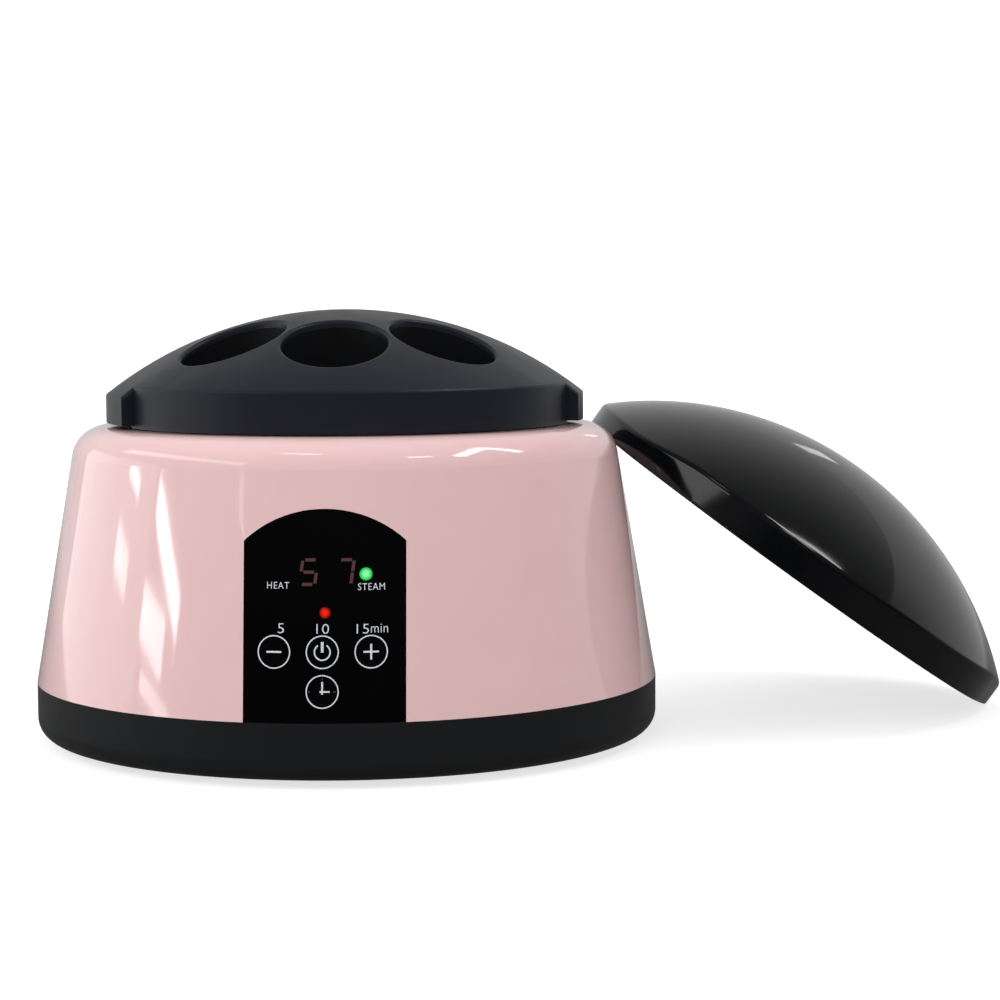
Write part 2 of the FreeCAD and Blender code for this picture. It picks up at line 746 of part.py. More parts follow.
def make_base_pan():
    """Base pan: cup with a spigot, screw bosses, standoffs, foot recesses and vents."""
    body = new_body("base_pan")
    spigot_out = f"({WALL_ACROSS} + lap_gap)"
    spigot_in = f"({WALL_ACROSS} + lap_gap + lap_wall)"
    lap_top = "(seam_height + lap_height)"
    inside = "(body_radius - pan_wall)"
    edge_centre = ("(body_radius - pan_edge)", "(foot_drop + pan_edge)")
    profile = new_sketch(body, "pan_profile", "XZ_Plane")
    draw_outline(profile, [
        ("0", "foot_drop"),
        ("(body_radius - pan_edge)", "foot_drop"),
        ("body_radius", "(foot_drop + pan_edge)"),
        ("body_radius", "seam_height"),
        (f"(body_radius - {spigot_out})", "seam_height"),
        (cone_radius(lap_top, spigot_out), lap_top),
        (cone_radius(lap_top, spigot_in), lap_top),
        (f"(body_radius - {spigot_in})", "(seam_height - lap_height)"),
        (inside, f"(seam_height - lap_height - ({spigot_in} - pan_wall))"),
        (inside, "(foot_drop + pan_edge)"),
        ("(body_radius - pan_edge)", PAN_TOP),
        ("0", PAN_TOP),
    ], arcs={1: edge_centre})
    turn_profile(body, "Revolution", "pan_turned", profile)

    notch = new_sketch(body, "notch_sketch", "XZ_Plane")
    half = f"({BOSS_EDGE} + lap_gap)"
    draw_box(notch, minus(half), half, "seam_height", lap_top)
    pocket(body, "spigot_notch", notch, forwards=True)

    bosses = new_sketch(body, "boss_sketch", "XY_Plane", "foot_drop")
    draw_circles(bosses, ring_spots(POST_RING, POST_AZIMUTHS), f"({SINK_RADIUS} + sink_wall)")
    pad(body, "screw_bosses", bosses, f"({POST_FLOOR} - foot_drop)")
    sinks = new_sketch(body, "sink_sketch", "XY_Plane", "foot_drop")
    draw_circles(sinks, ring_spots(POST_RING, POST_AZIMUTHS), SINK_RADIUS)
    pocket(body, "screw_sinks", sinks, "sink_depth", forwards=True)
    holes = new_sketch(body, "hole_sketch", "XY_Plane", "foot_drop")
    draw_circles(holes, ring_spots(POST_RING, POST_AZIMUTHS), "(casing_screw_radius + screw_gap)")
    pocket(body, "screw_holes", holes, forwards=True)

    standoffs = new_sketch(body, "standoff_sketch", "XY_Plane", PAN_TOP)
    draw_circles(standoffs, STANDOFFS, "standoff_radius")
    pad(body, "standoffs", standoffs, "standoff_height")
    pilots = new_sketch(body, "standoff_pilot_sketch", "XY_Plane", POWER_BOARD_Z)
    draw_circles(pilots, STANDOFFS, "(board_screw_radius + screw_gap / 2)")
    pocket(body, "standoff_pilots", pilots, "(board_screw_bite + screw_gap)")

    feet = new_sketch(body, "foot_sketch", "XY_Plane", "foot_drop")
    draw_circles(feet, ring_spots(FOOT_RING, FOOT_AZIMUTHS), "(foot_radius + foot_gap)")
    pocket(body, "foot_recesses", feet, "foot_recess", forwards=True)

    vent = new_sketch(body, "vent_sketch", "XY_Plane", "foot_drop")
    draw_box(vent, "vent_start", "(vent_start + vent_length)",
             "(0 - vent_width / 2)", "(vent_width / 2)")
    slot = pocket(body, "vent_slot", vent, "pan_floor", forwards=True)
    pattern = body.newObject("PartDesign::PolarPattern", "vents")
    pattern.Originals = [slot]
    pattern.Axis = (vent, ["N_Axis"])
    pattern.Angle = 360
    pattern.Occurrences = VENT_COUNT
    body.Tip = pattern


def make_base_fittings():
    """Rubber feet and the screws that join the casings."""
    feet = []
    screws = []
    for number, (across, back) in enumerate(ring_spots(FOOT_RING, FOOT_AZIMUTHS), start=1):
        foot = cylinder(f"foot_{number}", "foot_radius", "(foot_drop + foot_recess)",
                        Spot(across, back, "0"))
        feet.append(foot)
    length = f"({POST_FLOOR} - {SINK_TOP} + casing_screw_bite)"
    for number, (across, back) in enumerate(ring_spots(POST_RING, POST_AZIMUTHS), start=1):
        spot = Spot(across, back, SINK_TOP)
        screws.append(screw(f"base_screw_{number}", "casing_screw_radius", length,
                            "casing_screw_head", spot))
    group("rubber_feet", feet)
    group("base_screws", screws)


# Control panel ------------------------------------------------------------------
def make_lens():
    """Smoked control window: a plug flush with the housing and a flange behind it."""
    body = new_body("panel_lens")
    start = "(body_radius / 2)"
    length = "(body_radius / 2 + shoulder_radius)"
    low = "(foot_drop + pan_edge)"
    flange = new_sketch(body, "flange_sketch", "XZ_Plane", start)
    draw_panel(flange, "panel_flange", LENS_FOOT)
    pad(body, "lens_flange", flange, length)
    trim_outside(body, "flange_face", low, "body_height", f"({WALL_ACROSS} + panel_gap)")
    plug = new_sketch(body, "plug_sketch", "XZ_Plane", start)
    draw_panel(plug, "0", "(seam_height + panel_gap)")
    pad(body, "lens_plug", plug, length)
    trim_outside(body, "lens_face", low, "body_height", "0")
    hollow = new_sketch(body, "hollow_profile", "XZ_Plane")
    back = f"({WALL_ACROSS} + lens_back)"
    draw_outline(hollow, [
        ("0", low),
        (cone_radius(low, back), low),
        (cone_radius("body_height", back), "body_height"),
        ("0", "body_height"),
    ])
    turn_profile(body, "Groove", "lens_hollow", hollow)
    holes = panel_sketch(body, "key_hole_sketch", BOARD_DEPTH)
    draw_circles(holes, KEYS.values(), "(key_radius + key_gap)")
    pocket(body, "key_holes", holes, forwards=True)


def make_key(label, across, rise):
    """Travelling key: cap through the lens, retaining flange and stem to the switch."""
    body = new_body(label)
    cap = panel_sketch(body, "cap_sketch", KEY_FLANGE_BACK)
    draw_circle(cap, across, rise, "key_radius")
    pad(body, "cap", cap, f"({KEY_FLANGE_BACK} + pan_edge)")
    trim_outside(body, "cap_face", "(foot_drop + pan_edge)", "body_height", "(0 - key_proud)")
    flange = panel_sketch(body, "flange_sketch", KEY_FLANGE_BACK)
    draw_circle(flange, across, rise, "(key_radius + key_flange_width)")
    pad(body, "flange", flange, "key_flange_height")
    stem = panel_sketch(body, "stem_sketch", KEY_FLANGE_BACK)
    draw_circle(stem, across, rise, "key_stem_radius")
    pad(body, "stem", stem, "key_stem_length", backwards=True)


def make_display_board():
    """Display board with its screws, switches, digits, LEDs and ribbon plug."""
    height = "(boss_low + boss_high + 2 * board_margin)"
    middle = "((boss_high - boss_low) / 2)"
    board = box("display_board_blank", f"(2 * {BOSS_ACROSS} + 2 * board_margin)", height,
                "board_thickness", on_panel("0", middle, BOARD_BACK))
    holes = []
    screws = []
    for number, (across, rise) in enumerate(BOARD_BOSSES, start=1):
        spot = on_panel(across, rise, BOARD_BACK)
        holes.append(cylinder(f"display_hole_{number}", "(board_screw_radius + screw_gap / 2)",
                              "board_thickness", spot))
        screws.append(screw(f"display_screw_{number}", "board_screw_radius",
                            "(board_thickness + board_screw_bite)", "board_screw_head", spot))
    keep(cut("display_board_drilled", board, holes), "display_board")
    group("display_board_screws", screws)

    switches = []
    for label, (across, rise) in KEYS.items():
        case = box(f"{label}_switch_case", "switch_size", "switch_size", "switch_height",
                   on_panel(across, rise, BOARD_DEPTH))
        bore = cylinder(f"{label}_switch_bore", "(key_stem_radius + stem_gap)",
                        "(key_stem_length - key_lift + stem_room)",
                        on_panel(across, rise, f"({KEY_FLANGE_BACK} + key_stem_length + stem_room)"))
        switches.append(cut(f"{label}_switch", case, [bore]))
    group("tact_switches", switches)

    for label, side in (("left_digit_display", f"(digit_shift - {DIGIT_ACROSS})"),
                        ("right_digit_display", f"(digit_shift + {DIGIT_ACROSS})")):
        module = box(f"{label}_case", "digit_width", "digit_height", "digit_depth",
                     on_panel(side, "digit_rise", BOARD_DEPTH))
        keep(module, label)

    keep(led("steam_led_body", MODE_LED_ACROSS, "mode_led_rise"), "steam_led")
    keep(led("ten_minute_led_body", "0", "time_led_rise"), "ten_minute_led")
    group("idle_leds", [
        led("heat_led", minus(MODE_LED_ACROSS), "mode_led_rise"),
        led("five_minute_led", "(0 - time_led_pitch)", "time_led_rise"),
        led("fifteen_minute_led", "time_led_pitch", "time_led_rise"),
    ])
    plug = box("display_plug_case", "plug_width", "plug_height", "plug_depth",
               on_panel("0", minus("plug_rise"), f"({BOARD_BACK} + plug_depth)"))
    keep(plug, "display_plug")


def led(name, across, rise):
    """Make a round-nosed LED that stands on the display board."""
    spot = on_panel(across, rise, BOARD_DEPTH)
    barrel = cylinder(f"{name}_barrel", "led_radius", "(led_length - led_radius)", spot)
    collar = cylinder(f"{name}_collar", "(led_radius + led_collar)", "led_collar_height", spot)
    nose = doc.addObject("Part::Sphere", f"{name}_nose")
    bind(nose, Radius="led_radius")
    settle(nose, spot.moved(out="(led_length - led_radius)"))
    return fuse(name, [collar, barrel, nose])


# Basin and heater ----------------------------------------------------------------
def make_basin():
    """Drawn metal basin with a rolled corner and a flat flange, on its seal."""
    body = new_body("water_basin")
    corner = f"({BASIN_INNER} - basin_corner)"
    corner_z = f"({BASIN_FLOOR} + basin_corner)"
    centre = (corner, corner_z)
    profile = new_sketch(body, "basin_profile", "XZ_Plane")
    draw_outline(profile, [
        ("0", BASIN_FLOOR),
        (corner, BASIN_FLOOR),
        (BASIN_INNER, corner_z),
        (BASIN_INNER, BASIN_TOP),
        (FLANGE_RADIUS, BASIN_TOP),
        (FLANGE_RADIUS, f"({BASIN_TOP} - basin_wall)"),
        (BASIN_RADIUS, f"({BASIN_TOP} - basin_wall)"),
        (BASIN_RADIUS, corner_z),
        (corner, BASIN_UNDER),
        ("0", BASIN_UNDER),
    ], arcs={1: centre, 7: centre})
    turn_profile(body, "Revolution", "basin_turned", profile)

    seal = new_body("basin_seal")
    profile = new_sketch(seal, "seal_profile", "XZ_Plane")
    draw_box(profile, MOUTH_RADIUS, FLANGE_RADIUS, SEAT_Z, f"({SEAT_Z} + seal_height)")
    turn_profile(seal, "Revolution", "seal_turned", profile)


def make_heater():
    """Heater plate, ring element, strap with its screws, thermostat and fuse."""
    screw_hole = "(strap_screw_radius + screw_gap / 2)"
    plate = cylinder("plate_blank", PLATE_RADIUS, "plate_thickness", Spot(z=PLATE_UNDER))
    strap = box("strap_blank", f"(2 * {STRAP_SCREW} + 2 * strap_margin)", "strap_width",
                "strap_thickness", Spot(z=STRAP_UNDER))
    plate_holes = []
    strap_holes = []
    screws = []
    length = f"({PLATE_UNDER} - {STRAP_UNDER} + strap_screw_bite)"
    for side, across in (("left", minus(STRAP_SCREW)), ("right", STRAP_SCREW)):
        plate_holes.append(cylinder(f"plate_hole_{side}", screw_hole,
                                    "(strap_screw_bite + screw_gap)", Spot(across, "0", PLATE_UNDER)))
        strap_holes.append(cylinder(f"strap_hole_{side}", screw_hole, "strap_thickness",
                                    Spot(across, "0", STRAP_UNDER)))
        screws.append(screw(f"heater_screw_{side}", "strap_screw_radius", length,
                            "strap_screw_head", Spot(across, "0", STRAP_UNDER)))
    keep(cut("plate_drilled", plate, plate_holes), "heater_plate")
    keep(cut("strap_drilled", strap, strap_holes), "heater_strap")
    group("heater_screws", screws)

    element = doc.addObject("Part::Torus", "element_tube")
    bind(element, Radius1="element_ring", Radius2="element_radius", Angle3="(360 - element_opening)")
    element.Placement = Placement(Vector(0, 0, value(ELEMENT_Z)),
                                  Rotation(Vector(0, 0, 1), value("(90 + element_opening / 2)")))
    bind(element, **{"Placement.Base.z": ELEMENT_Z,
                     "Placement.Rotation.Angle": "(90 + element_opening / 2)"})
    keep(element, "heater_ring")

    thermostat = cylinder("thermostat_can", "thermostat_radius", "thermostat_height",
                          Spot("0", "(strap_width / 2 + sensor_clear + thermostat_radius)",
                               f"({PLATE_UNDER} - thermostat_height)"))
    keep(thermostat, "thermostat")
    fuse_body = doc.addObject("Part::Cylinder", "fuse_body")
    bind(fuse_body, Radius="fuse_radius", Height="fuse_length")
    spot = Spot("(0 - fuse_length / 2)", "(0 - strap_width / 2 - sensor_clear - fuse_radius)",
                f"({PLATE_UNDER} - element_gap - fuse_radius)")
    settle(fuse_body, spot)
    fuse_body.Placement.Rotation = Rotation(Vector(0, 1, 0), 90)
    keep(fuse_body, "thermal_fuse")


# Power board, inlet and leads -------------------------------------------------------
def make_power_board():
    """Power board on the pan's standoffs, with its components and screws."""
    board = box("power_board_blank", "power_board_long", POWER_BOARD_DEEP, "board_thickness",
                Spot("0", POWER_BOARD_MIDDLE, POWER_BOARD_Z))
    holes = []
    screws = []
    for number, (across, back) in enumerate(STANDOFFS, start=1):
        holes.append(cylinder(f"power_hole_{number}", "(board_screw_radius + screw_gap / 2)",
                              "board_thickness", Spot(across, back, POWER_BOARD_Z)))
        downwards = Spot(across, back, POWER_BOARD_TOP, "180")
        screws.append(screw(f"power_screw_{number}", "board_screw_radius",
                            "(board_thickness + board_screw_bite)", "board_screw_head", downwards))
    keep(cut("power_board_drilled", board, holes), "power_board")
    group("power_board_screws", screws)

    relay = box("relay_case", "relay_long", "relay_deep", "relay_high",
                Spot("(relay_inset + relay_long / 2 - power_board_long / 2)", "component_back",
                     POWER_BOARD_TOP))
    keep(relay, "relay")
    capacitor = cylinder("capacitor_can", "capacitor_radius", "capacitor_height",
                         Spot("(0 - capacitor_across)", "component_back", POWER_BOARD_TOP))
    keep(capacitor, "smoothing_capacitor")
    transformer = box("transformer_case", "transformer_long", "transformer_deep",
                      "transformer_high",
                      Spot("transformer_across", "component_back", POWER_BOARD_TOP))
    keep(transformer, "transformer")
    terminal = box("terminal_case", "terminal_long", "terminal_deep", "terminal_high",
                   Spot("0", ELEMENT_END_Y, POWER_BOARD_TOP))
    keep(terminal, "terminal_block")


def make_inlet():
    """Two-pin mains inlet in the back wall, with a lip that follows the wall."""
    body = new_body("mains_inlet")
    start = minus(INLET_ROOT)
    length = "(inlet_reach + inlet_proud + inlet_lip)"
    low = f"({INLET_Z} - 2 * inlet_half_height)"
    high = f"({INLET_Z} + 2 * inlet_half_height)"
    wide = "(inlet_half_width + inlet_lip)"
    tall = "(inlet_half_height + inlet_lip)"
    lip = new_sketch(body, "lip_sketch", "XZ_Plane", start)
    draw_box(lip, minus(wide), wide, f"({INLET_Z} - {tall})", f"({INLET_Z} + {tall})")
    pad(body, "inlet_lip_block", lip, length, backwards=True)
    inside = new_sketch(body, "inside_profile", "XZ_Plane")
    draw_outline(inside, [
        ("0", low),
        (cone_radius(low), low),
        (cone_radius(high), high),
        ("0", high),
    ])
    turn_profile(body, "Groove", "lip_back", inside)
    plug = new_sketch(body, "case_sketch", "XZ_Plane", start)
    draw_box(plug, "(0 - inlet_half_width)", "inlet_half_width",
             f"({INLET_Z} - inlet_half_height)", f"({INLET_Z} + inlet_half_height)")
    pad(body, "inlet_case", plug, length, backwards=True)
    trim_outside(body, "inlet_face", low, high, "(0 - inlet_proud)")

    floor = minus(SOCKET_FLOOR)
    for side in ("(0 - socket_pitch / 2)", "(socket_pitch / 2)"):
        socket = new_sketch(body, "socket_sketch", "XZ_Plane", floor)
        draw_circle(socket, side, INLET_Z, "socket_radius")
        pocket(body, "socket", socket)
    waist = new_sketch(body, "waist_sketch", "XZ_Plane", floor)
    draw_box(waist, "(0 - socket_pitch / 2)", "(socket_pitch / 2)",
             f"({INLET_Z} - socket_waist / 2)", f"({INLET_Z} + socket_waist / 2)")
    pocket(body, "socket_waist", waist)

    pins = []
    for side in ("left", "right"):
        across = "(socket_pitch / 2)" if side == "right" else "(0 - socket_pitch / 2)"
        pins.append(cylinder(f"inlet_pin_{side}", "pin_radius", "pin_length",
                             Spot(across, SOCKET_FLOOR, INLET_Z, "(0 - 90)")))
    group("inlet_pins", pins)


def make_leads():
    """Leads from the inlet to the power board and up to the heater, and the ribbon."""
    heater_leads = []
    mains_leads = []
    terminal_top = f"({POWER_BOARD_TOP} + terminal_high)"
    bend_z = f"({INLET_Z} - lead_bend)"
    for side in ("left", "right"):
        across = ELEMENT_END_X if side == "right" else minus(ELEMENT_END_X)
        height = f"({ELEMENT_Z} - element_radius - element_gap - {terminal_top})"
        heater_leads.append(cylinder(f"heater_lead_{side}", "lead_radius", height,
                                     Spot(across, ELEMENT_END_Y, terminal_top)))
        across = "(socket_pitch / 2)" if side == "right" else "(0 - socket_pitch / 2)"
        riser = cylinder(f"mains_riser_{side}", "lead_radius", f"({bend_z} - {POWER_BOARD_TOP})",
                         Spot(across, LEAD_Y, POWER_BOARD_TOP))
        bend = doc.addObject("Part::Torus", f"mains_bend_{side}")
        bind(bend, Radius1="lead_bend", Radius2="lead_radius")
        bend.Angle3 = 90
        settle(bend, Spot(across, f"({LEAD_Y} + lead_bend)", bend_z))
        upright = Rotation(Vector(1, 1, 1), 120)
        bend.Placement.Rotation = upright.multiply(Rotation(Vector(0, 0, 1), 90))
        run = cylinder(f"mains_run_{side}", "lead_radius", f"({INLET_ROOT} - {LEAD_Y} - lead_bend)",
                       Spot(across, f"({LEAD_Y} + lead_bend)", INLET_Z, "(0 - 90)"))
        mains_leads.append(fuse(f"mains_lead_{side}", [riser, bend, run]))
    group("heater_leads", heater_leads)
    group("mains_leads", mains_leads)


def make_ribbon():
    """Flat ribbon from the display plug down and back to the power board's header."""
    header_front = "(header_inset - power_board_front)"
    header = box("header_case", "plug_width", "plug_depth", "plug_height",
                 Spot("0", f"({header_front} + plug_depth / 2)", POWER_BOARD_TOP))
    keep(header, "ribbon_header")
    lay_z = f"({POWER_BOARD_TOP} + ribbon_height)"
    bend_z = f"({lay_z} + ribbon_bend)"
    line_depth = f"({BOARD_BACK} + plug_depth / 2)"
    bend_y = (f"(({line_depth} + ribbon_bend + ({bend_z} - {PANEL_Z}) * sin(body_lean))"
              f" / cos(body_lean) - {PANEL_R})")
    run = (f"(0 - plug_rise - plug_height / 2 - ({bend_y} + {PANEL_R}) * sin(body_lean)"
           f" - ({bend_z} - {PANEL_Z}) * cos(body_lean))")
    body = new_body("display_ribbon")
    profile = new_sketch(body, "ribbon_profile", "YZ_Plane")
    edges = []
    for reach in ("(ribbon_bend + ribbon_thickness / 2)", "(ribbon_bend - ribbon_thickness / 2)"):
        turn_y = f"({bend_y} - {reach} * cos(body_lean))"
        turn_z = f"({bend_z} + {reach} * sin(body_lean))"
        edges.append([
            (f"({turn_y} + {run} * sin(body_lean))", f"({turn_z} + {run} * cos(body_lean))"),
            (turn_y, turn_z),
            (bend_y, f"({bend_z} - {reach})"),
            (header_front, f"({bend_z} - {reach})"),
        ])
    outer, inner = edges
    draw_outline(profile, outer + inner[::-1], arcs={1: (bend_y, bend_z), 5: (bend_y, bend_z)})
    strip = pad(body, "ribbon_strip", profile, "ribbon_width")
    strip.Midplane = True


# Covers --------------------------------------------------------------------------------
def dome_block(body, radius, ear, turn, floor, band, wall, dome):
    """Raise an eared block and hollow it from below; give its dome's centre height."""
    centre = f"({floor} + {band} - sqrt({dome} ^ 2 - {radius} ^ 2))"
    top = f"({centre} + {dome})"
    outline = new_sketch(body, "outline_sketch", "XY_Plane", floor)
    draw_eared(outline, radius, ear, turn)
    pad(body, "block", outline, f"({top} - {floor} + {wall})")
    inner = f"({radius} - {wall})"
    inner_dome = f"({dome} - {wall})"
    hollow = new_sketch(body, "hollow_profile", "YZ_Plane")
    draw_outline(hollow, [
        ("0", f"({floor} - {wall})"),
        (inner, f"({floor} - {wall})"),
        (inner, rim_height(centre, inner_dome, inner)),
        ("0", f"({centre} + {inner_dome})"),
    ], arcs={2: ("0", centre)})
    turn_profile(body, "Groove", "hollow", hollow)
    return centre


def dome_face(body, ear, wall, dome, centre):
    """Cut a block to its outer dome."""
    reach = f"({ear} + {wall})"
    top = f"({centre} + {dome})"
    above = f"({top} + 2 * {wall} + 2 * sleeve_reach)"
    profile = new_sketch(body, "dome_profile", "XZ_Plane")
    draw_outline(profile, [
        ("0", top),
        (reach, rim_height(centre, dome, reach)),
        (reach, above),
        ("0", above),
    ], arcs={0: ("0", centre)})
    turn_profile(body, "Groove", "dome", profile)


def on_sphere(centre, dome):
    """Make a test for the edges that lie on a sphere about the axis."""
    middle = Vector(0, 0, value(centre))
    radius = value(dome)

    def chosen(edge):
        spots = [edge.valueAt(edge.FirstParameter), edge.valueAt(edge.LastParameter)]
        spots.append(edge.valueAt((edge.FirstParameter + edge.LastParameter) / 2))
        return all(abs((spot - middle).Length - radius) < 1e-3 for spot in spots)
    return chosen


def make_finger_cover():
    """Finger cover: eared band and dome, five holes and a drip ring."""
    body = new_body("finger_cover")
    centre = dome_block(body, COVER_RADIUS, COVER_EAR, "cover_ear_turn", COVER_Z,
                        "cover_band", "cover_wall", "cover_dome")
    for turn in ("cover_ear_turn", "(cover_ear_turn + 180)"):
        core = new_sketch(body, "ear_core_sketch", "XY_Plane", COVER_Z)
        low = f"({turn} - ear_half_angle + ear_core_margin)"
        high = f"({turn} + ear_half_angle - ear_core_margin)"
        near = f"({COVER_RADIUS} - 2 * cover_wall)"
        far = f"({COVER_EAR} - ear_core_wall)"
        corners = []
        for reach, angle in ((near, low), (far, low), (far, high), (near, high)):
            corners.append((f"({reach} * cos({angle}))", f"({reach} * sin({angle}))"))
        draw_outline(core, corners, arcs={1: ("0", "0")})
        pocket(body, "ear_core", core, "ear_core_depth", forwards=True)
        raise_ear(body, turn)

    top = f"({centre} + cover_dome)"
    drip_floor = f"({SEAT_Z} - drip_reach)"
    ring = new_sketch(body, "drip_sketch", "XY_Plane", drip_floor)
    draw_circle(ring, "0", "0", DRIP_RADIUS)
    draw_circle(ring, "0", "0", f"({DRIP_RADIUS} - drip_wall)")
    pad(body, "drip_ring", ring, f"({top} - {drip_floor})")
    dome_face(body, COVER_EAR, "cover_wall", "cover_dome", centre)
    holes = new_sketch(body, "hole_sketch", "XY_Plane", drip_floor)
    draw_circles(holes, hole_spots(), "hole_radius")
    pocket(body, "finger_holes", holes, forwards=True)
    soften(body, "rounded_edges", on_sphere(centre, "cover_dome"), "edge_round")
    make_finger_sleeves(centre)


def raise_ear(body, turn):
    """Cut an ear's foot back, so that a fingertip gets under it."""
    foot = new_sketch(body, "ear_foot_sketch", "XY_Plane", COVER_Z)
    low = f"({turn} - ear_half_angle - ear_core_margin)"
    high = f"({turn} + ear_half_angle + ear_core_margin)"
    far = f"({COVER_EAR} + cover_wall)"
    corners = []
    for reach, angle in ((COVER_RADIUS, low), (far, low), (far, high), (COVER_RADIUS, high)):
        corners.append((f"({reach} * cos({angle}))", f"({reach} * sin({angle}))"))
    draw_outline(foot, corners, arcs={1: ("0", "0"), 3: ("0", "0")})
    pocket(body, "ear_foot", foot, "ear_lift", forwards=True)


def make_finger_sleeves(centre):
    """Five tubes that hang under the cover's holes and end on the dome's underside."""
    floor = f"({SEAT_Z} - sleeve_reach)"
    length = f"({centre} + cover_dome - {floor})"
    underside = doc.addObject("Part::Sphere", "dome_underside")
    bind(underside, Radius="(cover_dome - cover_wall - sleeve_lap)")
    settle(underside, Spot("0", "0", centre))
    sleeves = []
    for number, (across, back) in enumerate(hole_spots(), start=1):
        spot = Spot(across, back, floor)
        outer = cylinder(f"sleeve_{number}_outside", SLEEVE_RADIUS, length, spot)
        inner = cylinder(f"sleeve_{number}_bore", "hole_radius", length, spot)
        tube = cut(f"sleeve_{number}_tube", outer, [inner])
        sleeves.append(overlap(f"sleeve_{number}", tube, underside))
    group("finger_sleeves", sleeves)


def make_lid():
    """Domed lid, drawn with its rim flat, then leant on the table and the body."""
    body = new_body("lid")
    centre = dome_block(body, LID_RADIUS, LID_EAR, "lid_turn", "0",
                        "lid_band", "lid_wall", "lid_dome")
    dome_face(body, LID_EAR, "lid_wall", "lid_dome", centre)
    soften(body, "rounded_edges", on_sphere(centre, "lid_dome"), "lid_edge_round")
    return body


def lean_lid(body, wall):
    """Stand the lid's lower edge on the table and lean its upper edge on the body."""
    tilt = Rotation(Vector(0, 1, 0), value("lid_tilt"))
    lean = Rotation(Vector(0, 0, 1), value("lid_swing")).multiply(tilt)
    height = value(f"({LID_EAR} * sin(lid_tilt) + rest_gap)")
    gap = value("rest_gap")
    across = value(f"(body_radius + {LID_EAR})")
    shape = body.Shape.copy()
    for _ in range(12):
        shape.Placement = Placement(Vector(across, value("lid_back"), height), lean)
        distance = shape.distToShape(wall.Shape)[0]
        across -= distance - gap
    body.Placement = Placement(Vector(across, value("lid_back"), height), lean)
    bind(body, **{"Placement.Base.y": "lid_back",
                  "Placement.Base.z": f"({LID_EAR} * sin(lid_tilt) + rest_gap)"})
    print(f"lid centre {across:.3f}, gap to the body {distance:.3f}")


def sound_shape(node):
    """Give a node's shape, with the seams of its faces healed where they need it."""
    shape = node.Shape.copy()
    if not shape.isValid():
        shape.fix(HEAL_TOLERANCE, HEAL_TOLERANCE, HEAL_TOLERANCE)
    return shape


def export_nodes():
    """Check every object and write each node to its own STEP file."""
    for item in doc.Objects:
        if "Invalid" in item.State or "Error" in item.State:
            raise RuntimeError(f"{item.Name} ({item.Label}) did not compute: {item.State}")
    os.makedirs("parts", exist_ok=True)
    for node in nodes:
        shape = sound_shape(node)
        if shape.isNull() or not shape.isValid():
            raise RuntimeError(f"{node.Label} has no valid shape")
        shape.exportStep(f"parts/{node.Label}.step")
    print(f"{len(nodes)} nodes")


make_housing()
make_base_pan()
make_base_fittings()
make_lens()
for key_label, (key_across, key_rise) in KEYS.items():
    make_key(key_label, key_across, key_rise)
make_display_board()
make_basin()
make_heater()
make_power_board()
make_inlet()
make_leads()
make_ribbon()
make_finger_cover()
lid = make_lid()
doc.recompute()
lean_lid(lid, nodes[0])
doc.recompute()
export_nodes()
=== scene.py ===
"""Dressed model of a nail steamer.

A glossy tapered casing with a lit control panel, a finger cover and a leaning lid.
"""

from __future__ import annotations

import logging
import math
from dataclasses import dataclass, field
from enum import Enum
from typing import Sequence

import bmesh
import bpy
from bpy.types import Material, Mesh, Node, NodeSocket, NodeTree, Object
from mathutils import Matrix, Vector

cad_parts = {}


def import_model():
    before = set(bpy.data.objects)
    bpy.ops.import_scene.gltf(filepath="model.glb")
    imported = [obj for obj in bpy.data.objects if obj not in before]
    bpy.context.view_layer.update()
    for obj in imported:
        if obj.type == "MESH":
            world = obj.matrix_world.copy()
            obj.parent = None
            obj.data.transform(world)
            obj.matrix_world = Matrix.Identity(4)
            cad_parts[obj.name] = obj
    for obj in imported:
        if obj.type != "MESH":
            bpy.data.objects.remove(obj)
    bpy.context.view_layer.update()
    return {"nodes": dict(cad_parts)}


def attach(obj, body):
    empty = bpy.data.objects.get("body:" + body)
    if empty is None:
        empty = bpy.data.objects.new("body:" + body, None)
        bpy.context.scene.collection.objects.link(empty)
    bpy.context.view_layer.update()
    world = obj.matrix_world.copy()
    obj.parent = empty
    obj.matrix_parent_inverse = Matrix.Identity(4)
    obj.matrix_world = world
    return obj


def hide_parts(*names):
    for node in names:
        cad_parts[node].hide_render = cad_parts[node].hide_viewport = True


LOG = logging.getLogger("nail_steamer")
MM = 0.001
# A noise hardly leaves these shares, so patterns stretch them to their full swing.
NOISE_LOW, NOISE_HIGH = 0.3, 0.7
NOISE_ROUGHNESS = 0.55
# Strokes of this side are too small to print, and faces under this area are deleted.
NO_STROKE, SPECK_AREA = 1e-7, 1e-12
FEWEST_STROKES = 3
WELD = 1e-7
# Points along a printed ring, along each side of a lamp's dome, and in a letter's curves.
RING_POINTS, DOME_POINTS, LETTER_STEPS = 97, 25, 6

Pair = tuple[float, float]
Triple = tuple[float, float, float]


# ---------------------------------------------------------------- node helpers
def linear(code: str) -> tuple[float, float, float, float]:
    """Turn an sRGB hex colour into linear light.

    Args:
        code: six hex digits, such as "EBC8C5".

    Returns:
        Red, green, blue and an alpha of 1.
    """
    parts = []
    for start in (0, 2, 4):
        share = int(code[start:start + 2], 16) / 255
        parts.append(share / 12.92 if share <= 0.04045 else ((share + 0.055) / 1.055) ** 2.4)
    return (parts[0], parts[1], parts[2], 1.0)


